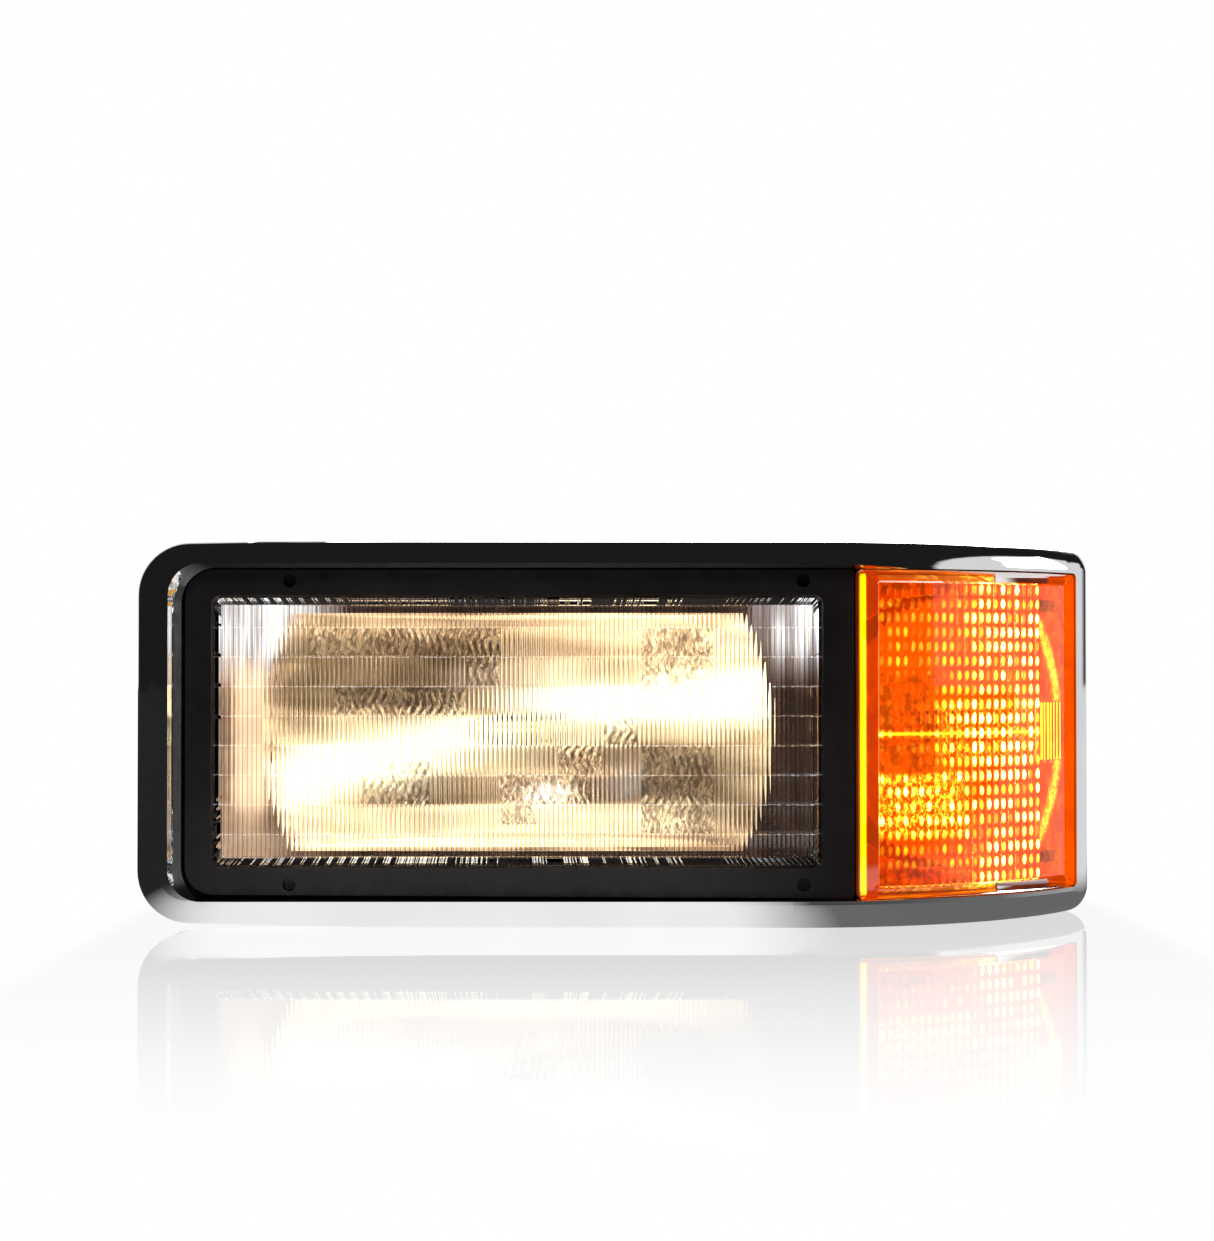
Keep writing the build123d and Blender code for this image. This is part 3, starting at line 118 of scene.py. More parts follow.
# ---- rubber boot: wall through (radius, depth) points in mm ----
BOOT_WALL = 1.7 * MM
BOOT_SEGMENTS = 96
BOOT_STEPS = 4
BOOT_OUTER = ((53, 0.9), (46, 0.9), (43.6, 1.5), (42.4, 4.0), (41, 5.0), (40.2, 6.8), (39, 7.2))
BOOT_INNER = (
    (39, 7.2), (37.4, 7.4), (36.2, 8.4), (33.6, 8.8), (32.4, 9.8), (29.6, 10.1), (28.2, 11), (24, 11.3),
    (21.4, 11.9), (17.6, 12.1), (15, 12.4), (14.2, 13), (14.2, 13.9),
)

# ---- optical values ----
PLASTIC_IOR = 1.49
BULB_IOR = 1.05
AMBER_GLOSS = 0.02
MIRROR_GLOSS = 0.14
TRAY_GLOSS = 0.12

# ---- painted shade zones of the bowl's painted glow: height from the beam, then (low, high, soft) up and across, in m ----
BOWL_SHADES = (
    (0.036, (-0.018, 0.022, 0.008), (-0.14, 0.02, 0.03)),
    (-0.038, (-0.012, 0.010, 0.006), (-0.11, -0.05, 0.012)),
    (-0.030, (-0.026, 0.018, 0.010), (0.075, 0.15, 0.02)),
)
# slope, bend and half width of the painted bright streak on the bowl
STREAK_SLOPE = 0.19
STREAK_BEND = 0.1
STREAK_HALF = 0.019

# ---- stage ----
FLOOR_HALF = 12.0
MIRRORING = 0.34
CAMERA_BACK = 1.6
CAMERA_X = -0.014
CAMERA_Z = 0.173
CAMERA_TILT = math.radians(90 + 0.9)
CAMERA_LENS = 72.5
SENSOR = 36
AIM = (0, 0, 0.12)
WHITE = (1, 1, 1, 1)


# ---------- node helpers ----------
class Field:
    """A number that varies over a surface, built from math nodes."""

    def __init__(self, tree, socket):
        self.tree = tree
        self.socket = socket

    def op(self, operation, *others):
        node = self.tree.nodes.new("ShaderNodeMath")
        node.operation = operation
        for slot, value in enumerate((self, *others)):
            if isinstance(value, Field):
                self.tree.links.new(value.socket, node.inputs[slot])
            else:
                node.inputs[slot].default_value = value
        return Field(self.tree, node.outputs[0])

    def __add__(self, other):
        return self.op("ADD", other)

    def __sub__(self, other):
        return self.op("SUBTRACT", other)

    def __mul__(self, other):
        return self.op("MULTIPLY", other)

    def __truediv__(self, other):
        return self.op("DIVIDE", other)

    def top(self, other):
        return self.op("MAXIMUM", other)

    def rest(self, share=1.0):
        """1 where the field is 0, falling by share where it is 1."""
        return self * -share + 1.0

    def off_centre(self):
        """Distance from the middle of each whole step, 0 to 0.5."""
        return (self.op("FRACT") - 0.5).op("ABSOLUTE")

    def smooth(self, start, end):
        """0 before start, 1 after end, smooth between."""
        node = self.tree.nodes.new("ShaderNodeMapRange")
        node.interpolation_type = "SMOOTHSTEP"
        self.tree.links.new(self.socket, node.inputs["Value"])
        rising = start < end
        node.inputs["From Min"].default_value = start if rising else end
        node.inputs["From Max"].default_value = end if rising else start
        node.inputs["To Min"].default_value = 0.0 if rising else 1.0
        node.inputs["To Max"].default_value = 1.0 if rising else 0.0
        return Field(self.tree, node.outputs["Result"])

    def between(self, low, high, soft):
        """1 from low to high, falling to 0 over soft on each side."""
        return self.smooth(low - soft, low) * self.smooth(high + soft, high)


def blend_shaders(tree, share, first, second, out):
    """The output's surface goes from the first shader to the second as share goes from 0 to 1."""
    blend = tree.nodes.new("ShaderNodeMixShader")
    tree.links.new(share, blend.inputs[0])
    tree.links.new(first.outputs[0], blend.inputs[1])
    tree.links.new(second.outputs[0], blend.inputs[2])
    tree.links.new(blend.outputs[0], out.inputs["Surface"])


class Material:
    """A principled material whose inputs are set or fed from fields and colours."""

    def __init__(self, name, **values):
        self.data = bpy.data.materials.new(name)
        self.data.use_nodes = True
        self.tree = self.data.node_tree
        self.tree.nodes.clear()
        self.out = self.tree.nodes.new("ShaderNodeOutputMaterial")
        self.bsdf = self.tree.nodes.new("ShaderNodeBsdfPrincipled")
        self.tree.links.new(self.bsdf.outputs[0], self.out.inputs["Surface"])
        self.coord = self.tree.nodes.new("ShaderNodeTexCoord").outputs["Object"]
        axes = self.tree.nodes.new("ShaderNodeSeparateXYZ")
        self.tree.links.new(self.coord, axes.inputs[0])
        self.x, self.y, self.z = (Field(self.tree, axes.outputs[i]) for i in range(3))
        for key, value in values.items():
            self.set(key.replace("_", " "), value)

    def set(self, name, value):
        socket = self.bsdf.inputs[name]
        if isinstance(value, Field):
            self.tree.links.new(value.socket, socket)
        elif isinstance(value, bpy.types.NodeSocket):
            self.tree.links.new(value, socket)
        else:
            socket.default_value = value

    def noise(self, scale, detail=3.0, stretch=(1, 1, 1), rough=0.5, distortion=0.0):
        """Noise with a size of about 1 / scale metres."""
        mapping = self.tree.nodes.new("ShaderNodeMapping")
        mapping.inputs["Scale"].default_value = stretch
        self.tree.links.new(self.coord, mapping.inputs["Vector"])
        texture = self.tree.nodes.new("ShaderNodeTexNoise")
        self.tree.links.new(mapping.outputs[0], texture.inputs["Vector"])
        texture.inputs["Scale"].default_value = scale
        texture.inputs["Detail"].default_value = detail
        texture.inputs["Roughness"].default_value = rough
        texture.inputs["Distortion"].default_value = distortion
        return Field(self.tree, texture.outputs["Fac"])

    def scatter(self, across, up):
        """A random value for each cell of a grid, from the cell's two numbers."""
        cell = self.tree.nodes.new("ShaderNodeCombineXYZ")
        self.tree.links.new(across.op("FLOOR").socket, cell.inputs[0])
        self.tree.links.new(up.op("FLOOR").socket, cell.inputs[1])
        texture = self.tree.nodes.new("ShaderNodeTexWhiteNoise")
        texture.noise_dimensions = "2D"
        self.tree.links.new(cell.outputs[0], texture.inputs["Vector"])
        return Field(self.tree, texture.outputs["Value"])

    def ramp(self, field, *stops):
        """Colour from a field, by (place, (r, g, b)) stops."""
        node = self.tree.nodes.new("ShaderNodeValToRGB")
        self.tree.links.new(field.socket, node.inputs[0])
        points = node.color_ramp.elements
        while len(points) < len(stops):
            points.new(0.5)
        for point, (place, colour) in zip(points, stops):
            point.position = place
            point.color = (*colour, 1)
        return node.outputs[0]

    def mix(self, field, first, second):
        """Colour from first to second as the field goes from 0 to 1."""
        node = self.tree.nodes.new("ShaderNodeMix")
        node.data_type = "RGBA"
        self.tree.links.new(field.socket, node.inputs["Factor"])
        for key, colour in (("A", first), ("B", second)):
            socket = [s for s in node.inputs if s.name == key and s.type == "RGBA"][0]
            if isinstance(colour, bpy.types.NodeSocket):
                self.tree.links.new(colour, socket)
            else:
                socket.default_value = (*colour, 1)
        return [s for s in node.outputs if s.type == "RGBA"][0]

    def bump(self, field, distance, strength=1.0):
        node = self.tree.nodes.new("ShaderNodeBump")
        node.inputs["Distance"].default_value = distance
        node.inputs["Strength"].default_value = strength
        self.tree.links.new(field.socket, node.inputs["Height"])
        self.tree.links.new(node.outputs[0], self.bsdf.inputs["Normal"])

    def see_through(self, refraction):
        self.bsdf.inputs["Transmission Weight"].default_value = 1.0
        self.bsdf.inputs["IOR"].default_value = refraction

    def clear_shadow(self):
        """Light passes straight through the surface on its way to other pieces."""
        shadow = self.tree.nodes.new("ShaderNodeLightPath").outputs["Is Shadow Ray"]
        clear = self.tree.nodes.new("ShaderNodeBsdfTransparent")
        self.tree.links.new(self.bsdf.inputs["Base Color"].links[0].from_socket, clear.inputs[0])
        blend_shaders(self.tree, shadow, self.bsdf, clear, self.out)


# ---------- materials ----------
def chrome():
    made = Material("chrome", Metallic=1.0)
    haze = made.noise(9, 4)
    made.set("Base Color", made.ramp(haze, (0.3, (0.80, 0.81, 0.82)), (0.7, (0.88, 0.89, 0.90))))
    made.set("Roughness", made.noise(55, 5).smooth(0.25, 0.9) * 0.05 + 0.02)
    made.bump(made.noise(38, 2), 0.00004, 0.35)
    return made.data


def moulded(name, dark, light, roughness, grain, depth, specular=0.5):
    """Grained plastic or rubber: two close tones, a fine leather-like grain and uneven gloss."""
    made = Material(name)
    made.bsdf.inputs["Specular IOR Level"].default_value = specular
    blotch = made.noise(24, 5)
    made.set("Base Color", made.ramp(blotch, (0.3, dark), (0.72, light)))
    made.set("Roughness", made.noise(140, 3).smooth(0.2, 0.8) * 0.16 + roughness - 0.08)
    fine = made.noise(grain, 2) + made.noise(grain * 0.31, 2) * 0.6
    made.bump(fine, depth, 0.5)
    return made.data


def metal(name, dark, light, roughness, lines):
    """Plated or turned metal with fine lines."""
    made = Material(name, Metallic=1.0)
    made.set("Base Color", made.ramp(made.noise(60, 6), (0.3, dark), (0.7, light)))
    made.set("Roughness", made.noise(220, 4).smooth(0.2, 0.8) * 0.2 + roughness)
    made.bump(made.noise(lines, 2, stretch=(1, 0.08, 1)), 0.00003, 0.5)
    return made.data


def clear_lens():
    """Flutes with grooves of painted amber light, painted shade that varies from one flute to the next,
    painted reflections over the rippled blocks and painted glints on the row seams.
    """
    made = Material("clear_lens", Roughness=0.0)
    made.see_through(PLASTIC_IOR)
    column = (made.x - LENS_LOW.x) / FLUTE
    row = (made.z - ROW_BASE) / ROW
    patches = lens_patches(made)
    # Painted light in the base colour: the grooves' amber, the darker brown of some flutes and the rippled
    # blocks' dark and pale tones stand in for light and shade seen through the lens.
    groove = column.off_centre().smooth(0.30, 0.48) * patches.rest(0.75)
    seam = row.off_centre().smooth(0.465, 0.49)
    behind = (made.y - LENS_LOW.y).smooth(LENS_WALL * 0.8, LENS_WALL)
    painted_flute_shade = made.scatter(column, row).smooth(0.35, 1.0) * 0.30 * behind
    ripple = made.noise(260, 2, stretch=(1.0, 0, 0.42), distortion=1.6).smooth(0.40, 0.60)
    plain = made.mix(painted_flute_shade, (0.98, 0.98, 0.975), (0.52, 0.38, 0.26))
    grooved = made.mix(groove * behind, plain, (0.44, 0.21, 0.035))
    rippled = made.mix(ripple, (0.10, 0.070, 0.052), (0.95, 0.84, 0.70))
    made.set("Base Color", made.mix(patches * behind * 0.85, grooved, rippled))
    # Painted glint: the row seams glow in the emission, in warm and cool colours.
    glint_tint = made.ramp(made.noise(30, 2), (0.4, (1.0, 0.80, 0.52)), (0.6, (0.92, 0.94, 1.0)))
    made.set("Emission Color", glint_tint)
    made.set("Emission Strength", seam * groove.rest() * made.scatter(column, row) * behind * 0.5)
    made.clear_shadow()
    return made.data


def lens_patches(made):
    """1 inside the lens's plain optic blocks, 0 elsewhere."""
    soft = 0.2 * MM
    marked = made.x * 0.0
    for x0, x1, z0, z1 in LENS_BLOCKS:
        box = made.x.between(x0 * MM, x1 * MM, soft) * made.z.between(z0 * MM, z1 * MM, soft)
        marked = marked.top(box)
    return marked


def amber_lens():
    """Smooth front and edges of the amber lens, with painted light caught in its left and right edges and a
    faint painted glow over the whole lens.
    """
    made = Material("amber_lens", Roughness=AMBER_GLOSS)
    made.see_through(PLASTIC_IOR)
    # Painted light: the left and right edges are darker in colour and glow, a strip near the left edge glows
    # yellow, and faint streaks glow over the whole lens, all in the emission.
    edges = made.x.between(TURN_LOW.x + 5.4 * MM, TURN_LOW.x + 12.6 * MM, 0.4 * MM)
    edges = edges.top(made.x.smooth(TURN_HIGH.x - 9 * MM, TURN_HIGH.x - 8 * MM))
    amber = made.ramp(made.noise(30, 3), (0.3, (1.0, 0.50, 0.05)), (0.7, (1.0, 0.58, 0.08)))
    made.set("Base Color", made.mix(edges, amber, (0.26, 0.02, 0.0)))
    bright = made.x.between(TURN_LOW.x + 1.4 * MM, TURN_LOW.x + 4.8 * MM, 0.5 * MM)
    bright = bright * made.z.between(TURN_LOW.z + 3 * MM, TURN_HIGH.z - 3 * MM, MM)
    streak = made.noise(40, 3, stretch=(1, 1, 0.4)).smooth(0.25, 0.75)
    made.set("Emission Color", made.mix(bright, (1.0, 0.10, 0.0), (1.0, 0.66, 0.0)))
    made.set("Emission Strength", bright * (streak * 0.35 + 0.65) + streak * 0.10 + 0.06 + edges * 0.20)
    made.clear_shadow()
    return made.data


def pillow_spots(made, run, rise, fine):
    """Brightness of the painted light spot in each pillow, and how much of the field is in painted shade."""
    column = (made.x - PILLOWS[0]) / PILLOW_X
    row = (made.z - PILLOWS[2]) / PILLOW_Z
    wander = made.noise(300, 2, distortion=0.8) - 0.5
    across = (column.op("FRACT") - 0.5 + wander * 0.25) / 0.36
    up = (row.op("FRACT") - 0.5 + wander * 0.2) / 0.44
    spot = (across * across + up * up).smooth(1.0, 0.15)
    side = run.smooth(0.030, 0.085)
    strong = run.smooth(0.052, 0.060) * run.smooth(0.068, 0.062).rest(0.55)
    middle = rise.between(-0.014, 0.016, 0.010)
    low_left = rise.between(-0.062, -0.028, 0.008) * run.smooth(0.075, 0.045)
    lit = strong * 0.70 + side * 0.35 + middle * 0.35 + low_left * 0.50 + 0.34
    painted_spot_light = spot * (made.scatter(column, row) * 1.3 + 0.12) * lit
    painted_spot_light = painted_spot_light + fine * low_left * 0.5 + fine * middle * 0.3
    # Painted shade over two bands through the middle and over the top and bottom ends.
    bands = rise.between(0.004, 0.036, 0.006).top(rise.between(-0.024, -0.004, 0.005))
    ends = rise.smooth(0.082, 0.090).top(rise.smooth(-0.084, -0.090))
    shade = (bands * run.smooth(0.046, 0.034)).top(ends * run.smooth(0.08, 0.06))
    return painted_spot_light, shade


def amber_optics():
    """Pillow optics on the back of the amber lens, in painted light: a painted bright spot in each, denser
    and whiter to the right, painted glints on the ribs and arcs of the smooth strip and along a middle line
    through the pillows, and painted shade that also darkens two round marks for the screw bosses.
    """
    made = Material("amber_optics", Roughness=AMBER_GLOSS)
    made.see_through(PLASTIC_IOR)
    run = made.x - PILLOWS[0]
    rise = made.z - PILLOW_MIDDLE
    fine = made.noise(420, 3, stretch=(1, 1, 0.7), rough=0.7, distortion=0.6).smooth(0.44, 0.60)
    painted_spot_light, shade = pillow_spots(made, run, rise, fine)
    smooth_start = PILLOW_END - PILLOWS[0]
    plain = run.smooth(smooth_start - MM, smooth_start + MM)
    block = plain * rise.between(-BLOCK_HALF, BLOCK_HALF, 0.5 * MM) * run.smooth(0.133, 0.132)
    ribs = (run / 0.0026).off_centre().smooth(0.32, 0.18) * block
    ring_x = (run - 0.058) / 0.072
    ring_z = rise / 0.112
    ring = (ring_x * ring_x + ring_z * ring_z - 1.0).op("ABSOLUTE").smooth(0.14, 0.02)
    arcs = ring * plain * rise.op("ABSOLUTE").between(0.022, 0.082, 0.006) * (fine * 0.5 + 0.6)
    line = rise.between(-0.8 * MM, 0.8 * MM, 0.6 * MM) * plain.rest()
    # Painted light: this level of painted spots and glints drives the emission and the base colour; painted
    # shade and the two boss marks dim both.
    value = (painted_spot_light * plain.rest() * shade.rest(0.8)).top(ribs * 0.6).top(arcs * 0.62).top(line * 0.55)
    bosses = rise.op("ABSOLUTE").between(0.0805, 0.0875, 0.001) * plain * run.smooth(0.128, 0.126)
    painted_dimming = (shade * 0.75 * made.noise(160, 3).smooth(0.4, 0.6)).top(bosses * 0.8)
    base = made.mix(value.smooth(0.05, 0.6), (0.34, 0.014, 0.0), (1.0, 0.70, 0.04))
    made.set("Base Color", made.mix(painted_dimming, base, (0.05, 0.004, 0.0)))
    made.set("Emission Color", made.ramp(
        value, (0.0, (1.0, 0.062, 0.0)), (0.30, (1.0, 0.30, 0.0)), (0.62, (1.0, 0.72, 0.02)),
        (1.0, (1.0, 0.95, 0.62))))
    made.set("Emission Strength", (value * value * 2.4 + value * 0.7 + 0.46) * painted_dimming.rest(0.9))
    made.clear_shadow()
    return made.data


def glow_painted_mirror():
    """Metallised bowl with painted light in place of the light from its own lamp: a painted bright slanting
    streak over a warm, patchy painted glow.
    """
    made = Material("glow_painted_mirror", Metallic=1.0, Roughness=MIRROR_GLOSS)
    silver = made.ramp(made.noise(18, 4), (0.3, (0.36, 0.33, 0.30)), (0.7, (0.50, 0.47, 0.44)))
    made.set("Base Color", silver)
    run = made.x - BEAM_X
    rise = made.z - BEAM_Z
    wander = made.noise(20, 3, stretch=(0.6, 1, 1.4)) - 0.5
    # Painted light: a bright streak with its halo, a low band and an upper patch glow in the emission over a
    # warm, patchy painted glow, lowered in the painted shade zones.
    line = run * STREAK_SLOPE - run * run * STREAK_BEND - rise + wander * 0.03
    width = run.smooth(-0.02, -0.12) * 0.004 + STREAK_HALF
    inner = line / width
    outer = line / (width * 1.7)
    core = (inner * inner).smooth(1.0, 0.0) * run.between(-0.145, 0.15, 0.025)
    halo = (outer * outer).smooth(1.0, 0.0) * run.between(-0.15, 0.16, 0.02)
    low_band = (rise + 0.063 - run * 0.03).between(-0.008, 0.006, 0.008) * run.between(-0.13, 0.10, 0.05)
    upper = (rise - 0.050).between(-0.03, 0.03, 0.02) * run.between(0.01, 0.15, 0.05)
    rays = made.noise(46, 3, stretch=(0.25, 1, 1.6), rough=0.6).smooth(0.38, 0.66)
    shade = run * 0.0
    for height, up, across in BOWL_SHADES:
        shade = shade.top((rise - height).between(*up) * run.between(*across))
    fine = made.noise(120, 3, stretch=(1.0, 1, 0.35), rough=0.65, distortion=0.6).smooth(0.42, 0.58)
    warm = fine * 0.5 + rays * 0.5
    base = made.mix(warm, (0.42, 0.22, 0.13), (1.0, 0.76, 0.46))
    made.set("Emission Color", made.mix(halo.top(low_band * 0.6), base, (1.0, 0.88, 0.56)))
    glow = core * 1.9 + halo * 0.6 + (low_band * 0.9 + upper * 0.75) * (fine * 0.7 + 0.5)
    made.set("Emission Strength", glow + (warm * 1.25 + 0.22) * shade.rest(0.72))
    return made.data


def shroud_mirror():
    """Tray between the lens and the bowl, bright with painted light: painted cold reflections in the upper
    corners, a painted warm glow and bright band at the left.
    """
    made = Material("shroud_mirror", Metallic=1.0, Roughness=TRAY_GLOSS)
    silver = made.ramp(made.noise(20, 4), (0.3, (0.42, 0.36, 0.33)), (0.7, (0.55, 0.50, 0.47)))
    made.set("Base Color", silver)
    run = made.x - BEAM_X
    rise = made.z - BEAM_Z
    left = run.smooth(-0.10, -0.16)
    right = run.smooth(0.14, 0.18)
    top = rise.smooth(0.022, 0.070)
    stripe = made.noise(120, 2, stretch=(1.0, 1, 0.1)).smooth(0.35, 0.65)
    # Painted light: cold reflections, a warm glow, a bright band and faint stripes, all in the emission.
    cold = top * left.top(right) * (stripe * 0.6 + 0.5)
    painted_sheen = run.between(-0.182, -0.168, 0.008) * rise.between(-0.035, 0.03, 0.03)
    warm = left * (made.noise(26, 3).smooth(0.3, 0.7) * 0.4 + 0.3) * top.rest() + painted_sheen * 0.8
    tone = made.mix(warm, (0.30, 0.15, 0.11), (1.0, 0.72, 0.48))
    made.set("Emission Color", made.mix(cold, tone, (0.84, 0.92, 1.0)))
    made.set("Emission Strength", cold * 1.7 + warm * 0.95 + stripe * 0.12 + 0.05)
    return made.data


def turn_mirror():
    """Metallised bowl behind the amber lens, with a soft painted glow, brighter to the right."""
    made = Material("turn_mirror", Metallic=1.0, Roughness=MIRROR_GLOSS)
    silver = made.ramp(made.noise(18, 4), (0.3, (0.42, 0.42, 0.41)), (0.7, (0.55, 0.55, 0.54)))
    made.set("Base Color", silver)
    # Painted light: glowing spots and a glow that grows to the right, in the emission.
    spots = made.noise(85, 3, stretch=(1, 1, 0.8), rough=0.6, distortion=0.8).smooth(0.45, 0.66)
    side = made.x.smooth(TURN_X - 0.075, TURN_X + 0.035)
    made.set("Emission Color", made.mix(spots, (1.0, 0.62, 0.5), (1.0, 1.0, 0.9)))
    made.set("Emission Strength", spots * (side * 0.8 + 0.2) + side * 0.25 + 0.16)
    return made.data


def lamp_glass():
    made = Material("lamp_glass", Roughness=0.0)
    made.see_through(BULB_IOR)
    made.set("Base Color", made.ramp(made.noise(60, 3), (0.3, (0.98, 0.98, 0.97)), (0.7, (1.0, 1.0, 1.0))))
    made.clear_shadow()
    return made.data


def hot_wire():
    made = Material("hot_wire", Metallic=0.0, Roughness=0.5)
    made.set("Base Color", (1.0, 0.8, 0.5, 1))
    glow = made.ramp(made.noise(900, 2), (0.3, (1.0, 0.72, 0.30)), (0.7, (1.0, 0.86, 0.55)))
    made.set("Emission Color", glow)
    made.set("Emission Strength", 1.6)
    return made.data


# ---------- mesh helpers ----------
def placed(name, data):
    """A new object with the given data, linked into the scene."""
    made = bpy.data.objects.new(name, data)
    bpy.context.scene.collection.objects.link(made)
    return made


def new_piece(name, vertices, faces, material, body="housing"):
    """A smooth mesh that rides on body, or on nothing yet when body is None."""
    mesh = bpy.data.meshes.new(name)
    mesh.from_pydata(vertices, [], faces)
    mesh.validate()
    mesh.materials.append(material)
    mesh.shade_smooth()
    piece = placed(name, mesh)
    if body:
        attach(piece, body)
    return piece


def depth_at(x, inset, seat=False):
    """Depth behind the front plane of the curve that lies inset behind the face, at x."""
    radius = ARC_RADIUS - inset
    run = x - ARC_X
    if run <= 0:
        return inset
    edge = radius * math.sin(SEAT_HEADING)
    if seat and run > edge:
        return ARC_RADIUS - radius * math.cos(SEAT_HEADING) + (run - edge)
    return ARC_RADIUS - math.sqrt(radius**2 - run**2)


def rounded(x, z, box, radius):
    """A point pulled onto the rounded corner of a box (x0, x1, z0, z1) if it lies outside the corner."""
    x0, x1, z0, z1 = box
    cx = min(max(x, x0 + radius), x1 - radius)
    cz = min(max(z, z0 + radius), z1 - radius)
    dx, dz = x - cx, z - cz
    far = math.hypot(dx, dz)
    if dx and dz and far > 1e-9:
        return cx + dx * radius / far, cz + dz * radius / far
    return x, z


def stretched(x, z, inner, outer):
    """A point on the inner box's edge carried to the outer box's edge."""
    fx = (x - inner[0]) / (inner[1] - inner[0])
    fz = (z - inner[2]) / (inner[3] - inner[2])
    return outer[0] + fx * (outer[1] - outer[0]), outer[2] + fz * (outer[3] - outer[2])


def grown(box, reach):
    return box[0] - reach, box[1] + reach, box[2] - reach, box[3] + reach


def rim_indices(columns, rows):
    """Grid vertex indices round the edge of a field, in order."""
    low = list(range(columns))
    right = [r * columns + columns - 1 for r in range(1, rows)]
    high = [(rows - 1) * columns + c for c in range(columns - 2, -1, -1)]
    left = [r * columns for r in range(rows - 2, 0, -1)]
    return low + right + high + left


def moulded_lens(name, xs, zs, place_back, place_front, loops, material, optics):
    """Lens with a patterned back field, a smooth front and rings of edge between them.

    place_back(x, z) and place_front(x, z) give points; loops is a list of functions from an edge point to a
    point, from the front round the rim to the back. The back field has the optics material.
    """
    columns, rows = len(xs), len(zs)
    back = [place_back(x, z) for z in zs for x in xs]
    front = [place_front(x, z) for z in zs for x in xs]
    vertices = back + front
    offset = len(back)
    faces = []
    for r in range(rows - 1):
        for c in range(columns - 1):
            a = r * columns + c
            faces.append((a, a + columns, a + columns + 1, a + 1))
            faces.append((offset + a, offset + a + 1, offset + a + columns + 1, offset + a + columns))
    rim = rim_indices(columns, rows)
    edge = [(xs[i % columns], zs[i // columns]) for i in rim]
    rings = [[offset + i for i in rim]]
    for loop in loops:
        start = len(vertices)
        vertices += [loop(x, z) for x, z in edge]
        rings.append(list(range(start, start + len(edge))))
    rings.append(rim)
    count = len(rim)
    for first, second in zip(rings, rings[1:]):
        for i in range(count):
            j = (i + 1) % count
            faces.append((first[i], first[j], second[j], second[i]))
    lens = new_piece(name, vertices, faces, material)
    lens.data.materials.append(optics)
    for face in lens.data.polygons:
        if all(i < offset for i in face.vertices):
            face.material_index = 1
    return lens


# ---------- clear lens ----------
def lens_rows(low, high):
    """Heights of the clear lens's grid lines from low to high: each row's seam, edges and steps between."""
    parts = (0.0,) + tuple(ROW_EDGE + (1 - 2 * ROW_EDGE) * i / ROW_STEPS for i in range(ROW_STEPS + 1))
    first = math.floor((low - ROW_BASE) / ROW)
    last = math.ceil((high - ROW_BASE) / ROW)
    levels = [ROW_BASE + row * ROW + part * ROW for row in range(first, last + 1) for part in parts]
    clear = 0.3 * MM
    return [low] + [z for z in levels if low + clear < z < high - clear] + [high]


def in_block(x, z):
    return any(a * MM <= x <= b * MM and c * MM <= z <= d * MM for a, b, c, d in LENS_BLOCKS)


def flute_relief(x, z, start, pitch):
    """How far the clear lens's back stands out: flutes crowned in each row, ripples in the blocks."""
    row = math.floor((z - ROW_BASE) / ROW)
    up = (z - ROW_BASE) / ROW - row
    crown = math.sin(math.pi * min(max((up - ROW_EDGE) / (1 - 2 * ROW_EDGE), 0), 1))
    if in_block(x, z):
        swirl = math.sin(x * 1250 + 2.2 * math.sin(z * 330 + x * 90))
        wave = swirl * (0.6 + 0.4 * math.sin(z * 700 + row))
        return 0.30 * MM + 0.28 * MM * wave
    phase = (x - start) / pitch
    across = phase - math.floor(phase)
    bulge = 1 - (2 * across - 1) ** 2
    lean = FLUTE_LEAN * math.sin(row * 2.3) * (across - 0.5)
    return FLUTE_SAG * (bulge + lean) * (0.75 + 0.25 * crown) + ROW_STEP * crown


def build_clear_lens():
    flange = (LENS_LOW.x, LENS_HIGH.x, LENS_LOW.z, LENS_HIGH.z)
    window = grown(flange, -LENS_RIM)
    face = grown(window, -LENS_FACE_INSET)
    pocket = grown(window, -LENS_WALL)
    field = grown(window, -LENS_FIELD_INSET)
    front = LENS_LOW.y
    back_face = front + LENS_WALL
    flange_front = LENS_HIGH.y - LENS_RIM_THICK
    flutes = round((field[1] - field[0]) / FLUTE)
    pitch = (field[1] - field[0]) / flutes
    xs = [field[0] + pitch * i / FLUTE_STEPS for i in range(flutes * FLUTE_STEPS + 1)]
    zs = lens_rows(field[2], field[3])

    def back(x, z):
        on_edge = x <= xs[0] or x >= xs[-1] or z <= zs[0] or z >= zs[-1]
        return x, back_face + (0.0 if on_edge else flute_relief(x, z, xs[0], pitch)), z

    def ring(box, corner, y):
        def place(x, z):
            px, pz = rounded(*stretched(x, z, field, box), box, corner)
            return px, y, pz
        return place

    loops = [
        ring(grown(face, -LENS_CHAMFER), LENS_FACE_CORNER - 0.3 * MM, front),
        ring(face, LENS_FACE_CORNER, front + LENS_CHAMFER),
        ring(face, LENS_FACE_CORNER, flange_front),
        ring(flange, LENS_RIM_CORNER, flange_front),
        ring(flange, LENS_RIM_CORNER, LENS_HIGH.y),
        ring(pocket, LENS_POCKET_CORNER, LENS_HIGH.y),
        ring(pocket, LENS_POCKET_CORNER, back_face),
    ]
    clear = clear_lens()
    lens = moulded_lens(
        "fluted_headlamp_lens", xs, zs, back, lambda x, z: (x, front, z), loops, clear, clear)
    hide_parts("headlamp_lens")


